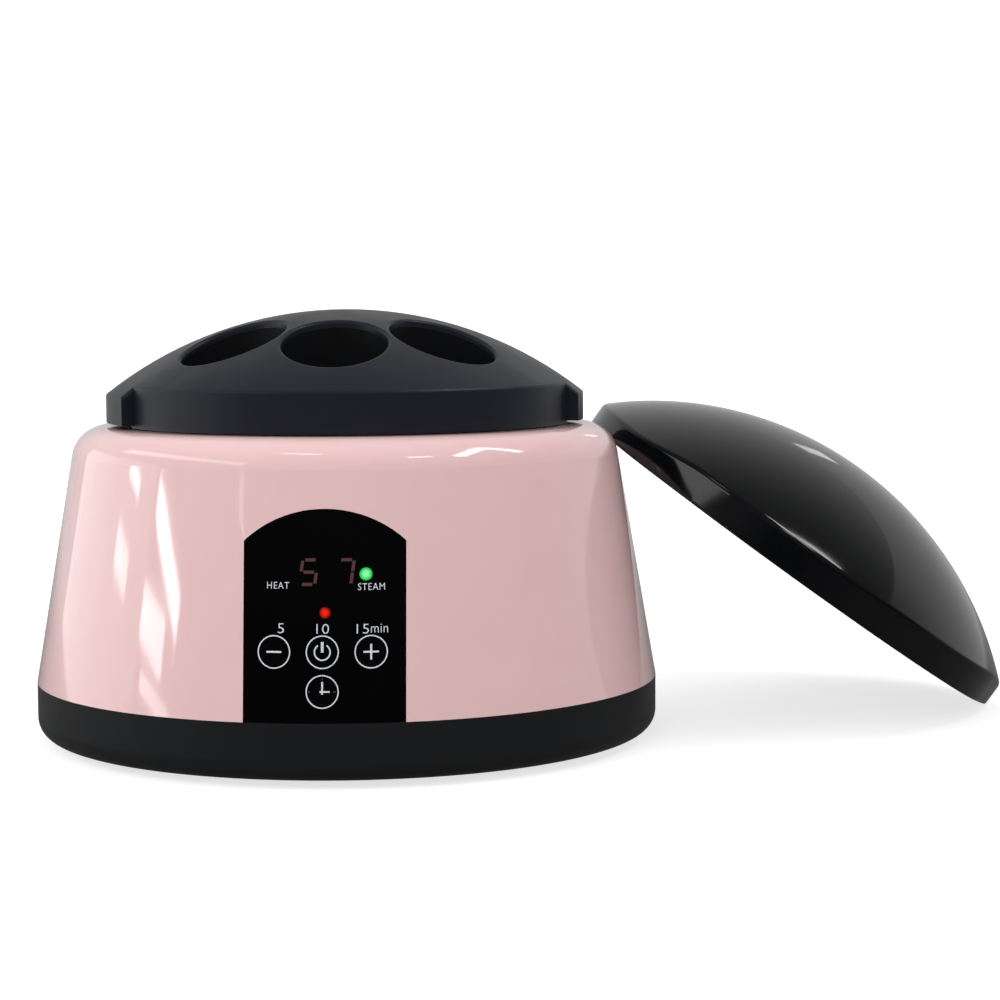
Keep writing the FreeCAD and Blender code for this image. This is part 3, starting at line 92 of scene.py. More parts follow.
def add_node(tree: NodeTree, kind: str, inputs: dict | None = None,
             **settings: object) -> Node:
    """Add a node to a tree, with its settings, values and links.

    Args:
        tree: the tree that gets the node.
        kind: the node's type.
        inputs: by socket name or number, a value, the output that feeds it, or a node
            whose first output feeds it.
        settings: the node's own attributes.

    Returns:
        The new node.
    """
    node = tree.nodes.new(kind)
    for name, value in settings.items():
        setattr(node, name, value)
    for key, value in (inputs or {}).items():
        if isinstance(value, Node):
            value = value.outputs[0]
        if isinstance(value, NodeSocket):
            tree.links.new(value, node.inputs[key])
        else:
            node.inputs[key].default_value = value
    return node


def grain_height(tree: NodeTree, size_mm: float, detail: float = 2.0,
                 stretch: Triple = (1.0, 1.0, 1.0)) -> NodeSocket:
    """Give a noise whose grains have a real size on the piece.

    Args:
        tree: the material's tree.
        size_mm: the width of a grain.
        detail: how many finer layers the noise has.
        stretch: how much closer the grains lie along X, Y and Z.

    Returns:
        The output with the height, from 0 to 1.
    """
    place = add_node(tree, "ShaderNodeTexCoord")
    stretched = add_node(tree, "ShaderNodeMapping", {
        "Vector": place.outputs["Object"], "Scale": stretch})
    noise = add_node(tree, "ShaderNodeTexNoise", {
        "Vector": stretched, "Scale": 1.0 / (size_mm * MM), "Detail": detail,
        "Roughness": NOISE_ROUGHNESS})
    return noise.outputs["Fac"]


# ------------------------------------------------------------------- finishes
@dataclass(frozen=True)
class Finish:
    """A material, named for what the real one is and how its surface was made."""

    name: str

    def surface(self, tree: NodeTree) -> Node:
        """Build the shader, which each kind of finish does in its own way.

        Args:
            tree: the material's empty tree.

        Returns:
            The shader node.
        """
        raise NotImplementedError

    def build(self) -> Material:
        """Make the material.

        Returns:
            The material, ready for a piece.
        """
        material = bpy.data.materials.new(self.name)
        material.use_nodes = True
        tree = material.node_tree
        tree.nodes.clear()
        add_node(tree, "ShaderNodeOutputMaterial", {"Surface": self.surface(tree)})
        return material


@dataclass(frozen=True)
class Plastic(Finish):
    """Injection-moulded plastic.

    The grain is the mould's texture, which breaks up highlights, and the swell is the faint
    waviness of a thick moulding, which makes long reflections wander.
    """

    colour: str
    roughness: float
    specular: float = 0.5
    coat: float = 0.0
    coat_roughness: float = 0.03
    grain_mm: float = 0.4
    grain_depth_mm: float = 0.0
    grain_detail: float = 3.0
    swell_mm: float = 30.0
    swell_depth_mm: float = 0.0
    second_colour: str = ""
    cloud_mm: float = 14.0
    uneven: float = 0.04
    smoothest: float = 0.02

    def surface(self, tree: NodeTree) -> Node:
        """Build the shader, with clouds in its tone and gloss, grain and swell.

        Args:
            tree: the material's empty tree.

        Returns:
            The shader node.
        """
        clouds = grain_height(tree, self.cloud_mm)
        rough = add_node(tree, "ShaderNodeMapRange", {
            "Value": clouds, "From Min": NOISE_LOW, "From Max": NOISE_HIGH,
            "To Min": max(self.smoothest, self.roughness - self.uneven),
            "To Max": self.roughness + self.uneven})
        tone = add_node(tree, "ShaderNodeMix", {
            "Factor": clouds, 6: linear(self.colour),
            7: linear(self.second_colour or self.colour)}, data_type="RGBA")
        shader = add_node(tree, "ShaderNodeBsdfPrincipled", {
            "Base Color": tone.outputs[2], "Roughness": rough,
            "Specular IOR Level": self.specular, "Coat Weight": self.coat,
            "Coat Roughness": self.coat_roughness})
        layers = ((self.grain_mm, self.grain_depth_mm, self.grain_detail),
                  (self.swell_mm, self.swell_depth_mm, 0.0))
        bumps = [add_node(tree, "ShaderNodeBump", {
            "Height": grain_height(tree, size, detail), "Distance": depth * MM, "Strength": 1.0})
            for size, depth, detail in layers if depth > 0]
        # Each bump feeds the next, and the last one feeds the shader.
        for bump, fed in zip(bumps, bumps[1:] + [shader]):
            tree.links.new(bump.outputs["Normal"], fed.inputs["Normal"])
        return shader


@dataclass(frozen=True)
class Metal(Finish):
    """Bare metal whose tool marks run one way when stretched."""

    colour: str
    roughness: float
    mark_mm: float
    mark_depth_mm: float
    stretch: Triple = (1.0, 1.0, 1.0)
    uneven: float = 0.08
    smoothest: float = 0.05

    def surface(self, tree: NodeTree) -> Node:
        """Build the shader, with its tool marks.

        Args:
            tree: the material's empty tree.

        Returns:
            The shader node.
        """
        marks = grain_height(tree, self.mark_mm, stretch=self.stretch)
        rough = add_node(tree, "ShaderNodeMapRange", {
            "Value": marks, "From Min": NOISE_LOW, "From Max": NOISE_HIGH,
            "To Min": max(self.smoothest, self.roughness - self.uneven),
            "To Max": self.roughness + self.uneven})
        bump = add_node(tree, "ShaderNodeBump", {
            "Height": marks, "Distance": self.mark_depth_mm * MM, "Strength": 1.0})
        return add_node(tree, "ShaderNodeBsdfPrincipled", {
            "Base Color": linear(self.colour), "Metallic": 1.0, "Roughness": rough,
            "Normal": bump})


@dataclass(frozen=True)
class BoardLaminate(Finish):
    """Glass-epoxy board under green solder mask, with the copper tracks showing as paler lanes."""

    mask: str
    track: str
    pitch_mm: float = 2.54
    track_share: float = 0.09
    lane_long: float = 3.0
    roughness: float = 0.35
    coat: float = 0.3

    def surface(self, tree: NodeTree) -> Node:
        """Build the shader, with its lanes.

        Args:
            tree: the material's empty tree.

        Returns:
            The shader node.
        """
        place = add_node(tree, "ShaderNodeTexCoord")
        lanes = add_node(tree, "ShaderNodeTexBrick", {
            "Vector": place.outputs["Object"], "Color1": linear(self.mask),
            "Color2": linear(self.mask), "Mortar": linear(self.track),
            "Scale": 1.0 / (self.pitch_mm * MM), "Mortar Size": self.track_share,
            "Brick Width": self.lane_long, "Row Height": 1.0})
        return add_node(tree, "ShaderNodeBsdfPrincipled", {
            "Base Color": lanes.outputs["Color"], "Roughness": self.roughness,
            "Coat Weight": self.coat})


@dataclass(frozen=True)
class LitWindow(Finish):
    """A clear spot in a dark print with a lamp behind it: bright in the middle, darker at the rim.

    The piece's point attribute "reach" runs from 0 in the middle to 1 at the rim.
    """

    core: str
    rim: str
    strength: float
    unlit: str = "050505"
    roughness: float = 0.08
    specular: float = 0.3
    speck_mm: float = 0.7
    speck_share: float = 0.5
    rim_start: float = 0.45
    rim_end: float = 1.25

    def surface(self, tree: NodeTree) -> Node:
        """Build the shader, with its glow.

        Args:
            tree: the material's empty tree.

        Returns:
            The shader node.
        """
        reach = add_node(tree, "ShaderNodeAttribute", attribute_name="reach")
        share = add_node(tree, "ShaderNodeMath", {
            0: grain_height(tree, self.speck_mm), 1: self.speck_share,
            2: reach.outputs["Fac"]}, operation="MULTIPLY_ADD")
        ramp = add_node(tree, "ShaderNodeMapRange", {
            "Value": share, "From Min": self.rim_start, "From Max": self.rim_end},
            interpolation_type="SMOOTHSTEP")
        glow = add_node(tree, "ShaderNodeMix", {
            "Factor": ramp, 6: linear(self.core), 7: linear(self.rim)}, data_type="RGBA")
        return add_node(tree, "ShaderNodeBsdfPrincipled", {
            "Base Color": linear(self.unlit), "Roughness": self.roughness,
            "Specular IOR Level": self.specular, "Emission Color": glow.outputs[2],
            "Emission Strength": self.strength})


@dataclass(frozen=True)
class Seamless(Finish):
    """Painted studio sweep: white to the eye, and pale in reflections from behind the object.

    The floor is lifted less near the object, which leaves room for its soft shadow. In
    reflections the paint is dark, and the room's front is dim while its back and wall are paler.
    A pair of places is in metres, and the pair after it says how bright it is there.
    """

    paint: str
    ceiling_mirror: float
    mirrored_paint: str = "303030"
    floor_reach: Pair = (0.3, 0.9)
    floor_lift: Pair = (0.72, 1.0)
    front_to_back: Pair = (-0.6, 1.8)
    room_mirror: Pair = (0.03, 0.55)
    wall_rise: Pair = (0.2, 1.5)

    def surface(self, tree: NodeTree) -> Node:
        """Build the paint, with the light that the eye and the mirrors see on it.

        Args:
            tree: the material's empty tree.

        Returns:
            The shader node.
        """
        rays = add_node(tree, "ShaderNodeLightPath")
        place = add_node(tree, "ShaderNodeTexCoord").outputs["Object"]
        parts = add_node(tree, "ShaderNodeSeparateXYZ", {"Vector": place})
        away = add_node(tree, "ShaderNodeVectorMath", {0: place}, operation="LENGTH")
        grades = ((away.outputs["Value"], self.floor_reach, self.floor_lift),
                  (parts.outputs["Y"], self.front_to_back, self.room_mirror),
                  (parts.outputs["Z"], self.wall_rise, (0.0, self.ceiling_mirror)))
        eye, room, ceiling = [
            add_node(tree, "ShaderNodeMapRange", {
                "Value": where, "From Min": start, "From Max": end, "To Min": low,
                "To Max": high}, interpolation_type="SMOOTHSTEP")
            for where, (start, end), (low, high) in grades]
        mirrored = add_node(tree, "ShaderNodeMath", {
            0: rays.outputs["Is Glossy Ray"], 1: rays.outputs["Is Transmission Ray"]},
            operation="MAXIMUM")
        joined = add_node(tree, "ShaderNodeMath", {0: room, 1: ceiling}, operation="MAXIMUM")
        shine = add_node(tree, "ShaderNodeMath", {
            0: mirrored, 1: joined}, operation="MULTIPLY")
        strength = add_node(tree, "ShaderNodeMath", {
            0: rays.outputs["Is Camera Ray"], 1: eye, 2: shine}, operation="MULTIPLY_ADD")
        tone = add_node(tree, "ShaderNodeMix", {
            "Factor": mirrored, 6: linear(self.paint), 7: linear(self.mirrored_paint)},
            data_type="RGBA")
        paint = add_node(tree, "ShaderNodeBsdfDiffuse", {"Color": tone.outputs[2]})
        glow = add_node(tree, "ShaderNodeEmission", {
            "Color": linear("FFFFFF"), "Strength": strength})
        return add_node(tree, "ShaderNodeAddShader", {0: paint, 1: glow})


# Each coat is a finish and the names of the CAD nodes that get it.
Coats = tuple[tuple[Finish, str], ...]

# Glossy ABS, pale pink: mirror-like highlights, and a faint swell that bends long reflections.
HOUSING_PINK = Plastic("gloss_abs_pink", "EDC8C8", 0.07, coat=0.5, swell_mm=34.0,
                       swell_depth_mm=0.05, second_colour="EAC2C2", uneven=0.02)
# Semi-gloss ABS, black: soft broad highlights from a finely textured mould.
BASE_BLACK = Plastic("semigloss_abs_black", "1A1B1D", 0.37, specular=0.34, uneven=0.03,
                     grain_mm=0.35, grain_depth_mm=0.004)
# Satin ABS, blue-black: an etched mould leaves a dull, even sheen.
COVER_BLACK = Plastic("satin_abs_black", "1B1F28", 0.4, specular=0.35,
                      grain_mm=0.35, grain_depth_mm=0.006, second_colour="181B23")
# The same plastic inside the holes, with a coarse matt texture, made darker with painted shade for
# the shade that falls in the holes.
SLEEVE_PAINTED_SHADE = Plastic("matt_abs_black_painted_shade", "0D0E11", 0.6, specular=0.2,
                       grain_mm=0.6, grain_depth_mm=0.01, second_colour="0B0C0E")
# Piano-black ABS: polished mould, near-mirror with a slight swell.
LID_BLACK = Plastic("polished_abs_black", "050608", 0.07, specular=0.4, coat=0.15,
                    swell_mm=45.0, swell_depth_mm=0.04, uneven=0.015)
# Smoked acrylic window printed black behind: flat and glassy.
LENS_BLACK = Plastic("printed_acrylic_black", "020203", 0.05, specular=0.25,
                     swell_mm=40.0, swell_depth_mm=0.01, uneven=0.01)
# Key caps of the same acrylic, a touch more reflective on their domed faces.
KEY_BLACK = Plastic("key_acrylic_black", "030304", 0.07, specular=0.35, uneven=0.01)
# Screen-printed white ink: matte, slightly uneven cover.
PRINT_WHITE = Plastic("screen_ink_white", "E6E8EE", 0.5, specular=0.2, second_colour="D3D6DE")
# Moulded nitrile rubber: dull, with a fine bloom.
RUBBER_BLACK = Plastic("nitrile_rubber_black", "1A1A1B", 0.75, specular=0.3,
                       grain_mm=0.6, grain_depth_mm=0.01, second_colour="232324")
# Moulded epoxy of chips, switches and capacitors.
COMPONENT_BLACK = Plastic("moulded_epoxy_black", "17181A", 0.5, grain_mm=0.3,
                          grain_depth_mm=0.004)
COMPONENT_GREY = Plastic("display_case_grey", "3A3B3D", 0.45, grain_mm=0.3,
                         grain_depth_mm=0.003)
# Nylon connectors and ceramic: off-white with a waxy gloss.
COMPONENT_WHITE = Plastic("moulded_nylon_white", "DAD8CF", 0.42, second_colour="D2CFC4")
COMPONENT_GREEN = Plastic("terminal_nylon_green", "2C7A46", 0.4, second_colour="276E3F")
# Polyester tape round the transformer's winding: glossy with soft ridges.
COMPONENT_YELLOW = Plastic("winding_tape_yellow", "C9A133", 0.3, grain_mm=1.2,
                           grain_depth_mm=0.03, second_colour="BF952B")
BOARD_GREEN = BoardLaminate("solder_mask_green", "0E3B23", "1D5A36")
# Lit lamps behind the window's clear spots.
LED_GREEN = LitWindow("led_lens_green", "8BFFB4", "08C43A", 1.0)
LED_RED = LitWindow("led_lens_red", "FF2A18", "9A0606", 0.9)
SEGMENT_DIM = LitWindow("segment_lens_dim", "6E4A48", "3C2524", 0.55)
# Clear epoxy lamp bodies that are off.
LED_CLEAR = Plastic("led_epoxy_clear", "B9BCBE", 0.15, specular=0.6)
LED_GREEN_BODY = Plastic("led_epoxy_green", "2FBF62", 0.15, specular=0.6)
LED_RED_BODY = Plastic("led_epoxy_red", "C2261C", 0.15, specular=0.6)
LEAD_GREY = Plastic("pvc_insulation_grey", "6A6C70", 0.5, grain_mm=0.8, grain_depth_mm=0.004,
                    second_colour="5F6165")
# Drawn stainless basin: satin lines round its axis from polishing.
BASIN_STEEL = Metal("drawn_steel_satin", "B9BBBD", 0.26, 0.5, 0.003, (1.0, 1.0, 6.0))
# Cast and turned aluminium: paler and duller.
HEATER_ALUMINIUM = Metal("cast_aluminium", "C4C6C9", 0.38, 0.8, 0.01)
SCREW_STEEL = Metal("zinc_plated_steel", "A9ACB0", 0.3, 0.3, 0.003)
PIN_BRASS = Metal("nickelled_brass", "C9B27A", 0.24, 0.3, 0.002)


class Paints:
    """Builds each finish once and hands its material out."""

    def __init__(self) -> None:
        """Start with nothing built."""
        self._built: dict[str, Material] = {}

    def of(self, finish: Finish) -> Material:
        """Give the material of a finish.

        Args:
            finish: the finish wanted.

        Returns:
            Its material, the same one each time.
        """
        if finish.name not in self._built:
            self._built[finish.name] = finish.build()
        return self._built[finish.name]


# --------------------------------------------------------------- mesh helpers
def dress(obj: Object, material: Material) -> None:
    """Give a piece one material."""
    obj.data.materials.clear()
    obj.data.materials.append(material)


def object_of(name: str, data: bpy.types.ID) -> Object:
    """Put a mesh, text, lamp or camera into the scene as an object at the origin.

    Args:
        name: the object's name.
        data: what it shows; a mesh is already in place.

    Returns:
        The new object.
    """
    obj = bpy.data.objects.new(name, data)
    bpy.context.scene.collection.objects.link(obj)
    return obj


def mesh_from(shape: bmesh.types.BMesh, name: str) -> Mesh:
    """Write a shape into a new mesh and free it.

    Args:
        shape: the shape.
        name: the mesh's name.

    Returns:
        The mesh.
    """
    mesh = bpy.data.meshes.new(name)
    shape.to_mesh(mesh)
    shape.free()
    return mesh


def turned_shape(sections: Sequence[Sequence[Pair]],
                 crests: Sequence[float]) -> bmesh.types.BMesh:
    """Skin sections that stand at equal turns round the Z axis, smooth.

    Args:
        sections: the radius and height of each section's points, in metres.
        crests: the heights on the axis that close the skin at the sections' first points and,
            where there are two, at their last.

    Returns:
        The shape.
    """
    shape = bmesh.new()
    rows = []
    for number, section in enumerate(sections):
        azimuth = 2 * math.pi * number / len(sections)
        rows.append([shape.verts.new((across * math.cos(azimuth), across * math.sin(azimuth), up))
                     for across, up in section])
    tips = [shape.verts.new((0.0, 0.0, height)) for height in crests]
    for row, after in zip(rows, rows[1:] + rows[:1]):
        for high in range(len(row) - 1):
            shape.faces.new((row[high], row[high + 1], after[high + 1], after[high]))
        for tip, end in zip(tips, (0, -1)):
            shape.faces.new((tip, row[end], after[end]))
    for face in shape.faces:
        face.smooth = True
    return shape


def evaluated_mesh(name: str, carrier: Object) -> Mesh:
    """Give what an object's modifiers or text make as a plain mesh, and delete the object.

    Args:
        name: the mesh's name.
        carrier: the object.

    Returns:
        The mesh.
    """
    carrier.update_tag()
    bpy.context.view_layer.update()
    graph = bpy.context.evaluated_depsgraph_get()
    mesh = bpy.data.meshes.new_from_object(carrier.evaluated_get(graph),
                                           preserve_all_data_layers=True, depsgraph=graph)
    mesh.name = name
    bpy.data.objects.remove(carrier)
    return mesh


# ------------------------------------------------------------ geometry trees
class Field(Enum):
    """The kinds of input that a geometry tree takes."""

    LENGTH = "NodeSocketFloat"
    COUNT = "NodeSocketInt"
    FINISH = "NodeSocketMaterial"


@dataclass
class Generator:
    """A geometry tree with named inputs, run once and left as a plain mesh."""

    name: str
    fields: dict[str, Field]
    tree: bpy.types.GeometryNodeTree = field(init=False)
    source: Node = field(init=False)
    sink: Node = field(init=False)

    def __post_init__(self) -> None:
        """Open the tree with its inputs."""
        self.tree = bpy.data.node_groups.new(self.name, "GeometryNodeTree")
        face = self.tree.interface
        face.new_socket("Geometry", in_out="INPUT", socket_type="NodeSocketGeometry")
        for label, kind in self.fields.items():
            face.new_socket(label, in_out="INPUT", socket_type=kind.value)
        face.new_socket("Geometry", in_out="OUTPUT", socket_type="NodeSocketGeometry")
        self.source = add_node(self.tree, "NodeGroupInput")
        self.sink = add_node(self.tree, "NodeGroupOutput")

    def close(self, geometry: NodeSocket) -> None:
        """End the tree: real geometry, with its finish.

        Args:
            geometry: what the tree has made.
        """
        real = add_node(self.tree, "GeometryNodeRealizeInstances", {"Geometry": geometry})
        done = add_node(self.tree, "GeometryNodeSetMaterial", {
            "Geometry": real, "Material": self.source.outputs["Finish"]})
        self.tree.links.new(done.outputs["Geometry"], self.sink.inputs["Geometry"])

    def run(self, name: str, values: dict[str, object], points: Sequence[Triple] = ()) -> Mesh:
        """Run the tree on an empty mesh, or on points.

        Args:
            name: the resulting mesh's name.
            values: each input's value, by name.
            points: across, up and how upright, for each point.

        Returns:
            The plain mesh.
        """
        base = bpy.data.meshes.new(f"{name}_carrier")
        base.from_pydata([(across, up, 0.0) for across, up, _ in points], [], [])
        turns = base.attributes.new("upright", "FLOAT", "POINT")
        for number, point in enumerate(points):
            turns.data[number].value = point[2]
        carrier = object_of(f"{name}_carrier", base)
        modifier = carrier.modifiers.new(self.name, "NODES")
        modifier.node_group = self.tree
        sockets = {item.name: item.identifier for item in self.tree.interface.items_tree
                   if item.in_out == "INPUT"}
        for label, value in values.items():
            modifier[sockets[label]] = value
        mesh = evaluated_mesh(name, carrier)
        bpy.data.meshes.remove(base)
        return mesh


def ring_generator() -> Generator:
    """Tree for a printed ring, with short strokes spaced round inside it.

    Returns:
        The generator, with inputs in metres.
    """
    maker = Generator("printed_ring", {
        "Radius": Field.LENGTH, "Line": Field.LENGTH, "Strokes": Field.COUNT,
        "Stroke Ring": Field.LENGTH, "Stroke Long": Field.LENGTH, "Stroke Wide": Field.LENGTH,
        "Gap": Field.LENGTH, "Finish": Field.FINISH})
    tree, given = maker.tree, maker.source.outputs
    # The ring is an arc whose gap, in radians, is centred at the top.
    sweep = add_node(tree, "ShaderNodeMath", {
        0: 2 * math.pi, 1: given["Gap"]}, operation="SUBTRACT")
    half_gap = add_node(tree, "ShaderNodeMath", {
        0: given["Gap"], 1: 0.5, 2: math.pi / 2}, operation="MULTIPLY_ADD")
    arc = add_node(tree, "GeometryNodeCurveArc", {
        "Resolution": RING_POINTS, "Radius": given["Radius"], "Start Angle": half_gap,
        "Sweep Angle": sweep}, mode="RADIUS")
    # A bar across the line, swept along it, lies flat in the print's plane.
    halves = [add_node(tree, "ShaderNodeMath", {
        0: given["Line"], 1: share}, operation="MULTIPLY") for share in (0.5, -0.5)]
    start, end = [add_node(tree, "ShaderNodeCombineXYZ", {"X": half}) for half in halves]
    bar = add_node(tree, "GeometryNodeCurvePrimitiveLine", {"Start": start, "End": end})
    band = add_node(tree, "GeometryNodeCurveToMesh", {"Curve": arc, "Profile Curve": bar})
    spots = add_node(tree, "GeometryNodeCurvePrimitiveCircle", {
        "Resolution": given["Strokes"], "Radius": given["Stroke Ring"]}, mode="RADIUS")
    places = add_node(tree, "GeometryNodeCurveToPoints", {"Curve": spots}, mode="EVALUATED")
    size = add_node(tree, "ShaderNodeCombineXYZ", {
        "X": given["Stroke Wide"], "Y": given["Stroke Long"]})
    stroke = add_node(tree, "GeometryNodeMeshGrid", {
        "Size X": 1.0, "Size Y": 1.0, "Vertices X": 2, "Vertices Y": 3})
    strokes = add_node(tree, "GeometryNodeInstanceOnPoints", {
        "Points": places, "Instance": stroke, "Rotation": places.outputs["Rotation"],
        "Scale": size})
    both = add_node(tree, "GeometryNodeJoinGeometry", {"Geometry": band})
    tree.links.new(strokes.outputs["Instances"], both.inputs["Geometry"])
    maker.close(both.outputs["Geometry"])
    return maker


def bar_generator() -> Generator:
    """Tree that lays one bar on each point of its mesh, upright where the point says so.

    Returns:
        The generator, with inputs in metres.
    """
    maker = Generator("bars_on_points", {
        "Long": Field.LENGTH, "Wide": Field.LENGTH, "Slant": Field.LENGTH,
        "Finish": Field.FINISH})
    tree, given = maker.tree, maker.source.outputs
    upright = add_node(tree, "GeometryNodeInputNamedAttribute", {
        "Name": "upright"}, data_type="FLOAT")
    turn = add_node(tree, "ShaderNodeMath", {
        0: upright, 1: math.pi / 2}, operation="MULTIPLY")
    angles = add_node(tree, "ShaderNodeCombineXYZ", {"Z": turn})
    size = add_node(tree, "ShaderNodeCombineXYZ", {
        "X": given["Long"], "Y": given["Wide"], "Z": 1.0})
    bar = add_node(tree, "GeometryNodeMeshGrid", {
        "Size X": 1.0, "Size Y": 1.0, "Vertices X": 5, "Vertices Y": 3})
    laid = add_node(tree, "GeometryNodeInstanceOnPoints", {
        "Points": given["Geometry"], "Instance": bar, "Rotation": angles, "Scale": size})
    real = add_node(tree, "GeometryNodeRealizeInstances", {"Geometry": laid})
    # The slant leans the whole figure over by a share of its height.
    place = add_node(tree, "GeometryNodeInputPosition")
    parts = add_node(tree, "ShaderNodeSeparateXYZ", {"Vector": place})
    lean = add_node(tree, "ShaderNodeMath", {
        0: parts.outputs["Y"], 1: given["Slant"]}, operation="MULTIPLY")
    shift = add_node(tree, "ShaderNodeCombineXYZ", {"X": lean})
    moved = add_node(tree, "GeometryNodeSetPosition", {"Geometry": real, "Offset": shift})
    maker.close(moved.outputs["Geometry"])
    return maker


def lamp_generator() -> Generator:
    """Tree for the low dome of a lamp that shows through a clear spot.

    Returns:
        The generator, with inputs in metres; its points carry "reach" from middle to rim.
    """
    maker = Generator("lamp_dome", {
        "Radius": Field.LENGTH, "Rise": Field.LENGTH, "Finish": Field.FINISH})
    tree, given = maker.tree, maker.source.outputs
    grid = add_node(tree, "GeometryNodeMeshGrid", {
        "Size X": 2.0, "Size Y": 2.0, "Vertices X": DOME_POINTS, "Vertices Y": DOME_POINTS})
    place = add_node(tree, "GeometryNodeInputPosition")
    parts = add_node(tree, "ShaderNodeSeparateXYZ", {"Vector": place}).outputs
    # A square grid is drawn in to a disc, so the dome has no pole.
    drawn_in = {}
    for axis, other in ("XY", "YX"):
        square = add_node(tree, "ShaderNodeMath", {
            0: parts[other], 1: parts[other]}, operation="MULTIPLY")
        pull = add_node(tree, "ShaderNodeMath", {
            0: square, 1: -0.5, 2: 1.0}, operation="MULTIPLY_ADD")
        root = add_node(tree, "ShaderNodeMath", {0: pull}, operation="SQRT")
        drawn_in[axis] = add_node(tree, "ShaderNodeMath", {
            0: parts[axis], 1: root}, operation="MULTIPLY")
    flat = add_node(tree, "ShaderNodeCombineXYZ", drawn_in)
    disc = add_node(tree, "GeometryNodeSetPosition", {"Geometry": grid, "Position": flat})
    where = add_node(tree, "GeometryNodeInputPosition")
    reach = add_node(tree, "ShaderNodeVectorMath", {0: where}, operation="LENGTH")
    marked = add_node(tree, "GeometryNodeStoreNamedAttribute", {
        "Geometry": disc, "Name": "reach", "Value": reach.outputs["Value"]},
        data_type="FLOAT", domain="POINT")
    squared = add_node(tree, "ShaderNodeMath", {
        0: reach.outputs["Value"], 1: reach.outputs["Value"]}, operation="MULTIPLY")
    fall = add_node(tree, "ShaderNodeMath", {0: 1.0, 1: squared}, operation="SUBTRACT")
    height = add_node(tree, "ShaderNodeMath", {
        0: fall, 1: given["Rise"]}, operation="MULTIPLY")
    lift = add_node(tree, "ShaderNodeCombineXYZ", {"Z": height})
    spread = add_node(tree, "ShaderNodeVectorMath", {
        0: where, "Scale": given["Radius"]}, operation="SCALE")
    domed = add_node(tree, "GeometryNodeSetPosition", {
        "Geometry": marked, "Position": spread, "Offset": lift})
    smooth = add_node(tree, "GeometryNodeSetShadeSmooth", {"Geometry": domed})
    maker.close(smooth.outputs["Geometry"])
    return maker


# --------------------------------------------------------------- sub-assemblies
@dataclass
class TaperedFace:
    """The outside of the tapered casing, on which the panel's print lies."""

    foot_radius: float = 110.0 * MM
    foot_height: float = 21.5 * MM
    lean: float = math.radians(9.6)

    def place(self, across: float, height: float, lift: float) -> Vector:
        """Find a place on the front of the casing.

        Args:
            across: distance to the right of the middle.
            height: height above the table.
            lift: distance proud of the face.

        Returns:
            The place, in metres.
        """
        radius = self.foot_radius - (height - self.foot_height) * math.tan(self.lean)
        radius += lift / math.cos(self.lean)
        return Vector((across, -math.sqrt(radius * radius - across * across), height))

    def wrap(self, mesh: Mesh, across: float, height: float, lift: float) -> None:
        """Lay a flat mesh on the face, facing out.

        Args:
            mesh: drawn in the XY plane, about its own middle.
            across: where its middle goes.
            height: the height of its middle.
            lift: how proud it lies; its own Z is added.
        """
        shape = bmesh.new()
        shape.from_mesh(mesh)
        bmesh.ops.remove_doubles(shape, verts=shape.verts, dist=WELD)
        shape.normal_update()
        turned = [face for face in shape.faces if face.normal.z < 0]
        bmesh.ops.reverse_faces(shape, faces=turned)
        for corner in shape.verts:
            corner.co = self.place(corner.co.x + across, corner.co.y + height,
                                   corner.co.z + lift)
        shape.to_mesh(mesh)
        shape.free()
        mesh.update()


@dataclass
class SubAssembly:
    """Pieces that are dressed together."""

    paints: Paints
    nodes: dict[str, Object]
    coats: Coats = ()

    def build(self) -> None:
        """Give the CAD nodes that keep their shape their finishes."""
        for finish, names in self.coats:
            for name in names.split():
                dress(self.nodes[name], self.paints.of(finish))
                LOG.info("%s: %s", name, finish.name)

    def add(self, name: str, mesh: Mesh, finish: Finish, body: str) -> Object:
        """Add a finished piece of its own.

        Args:
            name: the piece's name.
            mesh: its mesh, in place.
            finish: its finish.
            body: the CAD body it moves with.

        Returns:
            The new object.
        """
        obj = object_of(name, mesh)
        dress(obj, self.paints.of(finish))
        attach(obj, body)
        LOG.info("%s: %s, %d faces", name, finish.name, len(mesh.polygons))
        return obj


@dataclass
class Casing(SubAssembly):
    """Pink housing on its black base, with rubber feet and screws."""

    coats: Coats = (
        (HOUSING_PINK, "housing_shell"), (BASE_BLACK, "base_pan"),
        (RUBBER_BLACK, "rubber_feet"), (SCREW_STEEL, "base_screws"))


@dataclass
class KeySign:
    """What is printed on one key: its ring, inner strokes and bars."""

    node: str
    across: float
    height: float
    bars: tuple[tuple[float, float, float, float], ...] = ()
    inner_radius: float = 0.0
    inner_gap: float = 0.0
    ticks: int = 0


@dataclass
class Letters:
    """A printed word or number that fills a box on the window."""

    name: str
    text: str
    left: float
    right: float
    foot: float
    top: float
    spacing: float = 1.0
    weight: float = 0.0


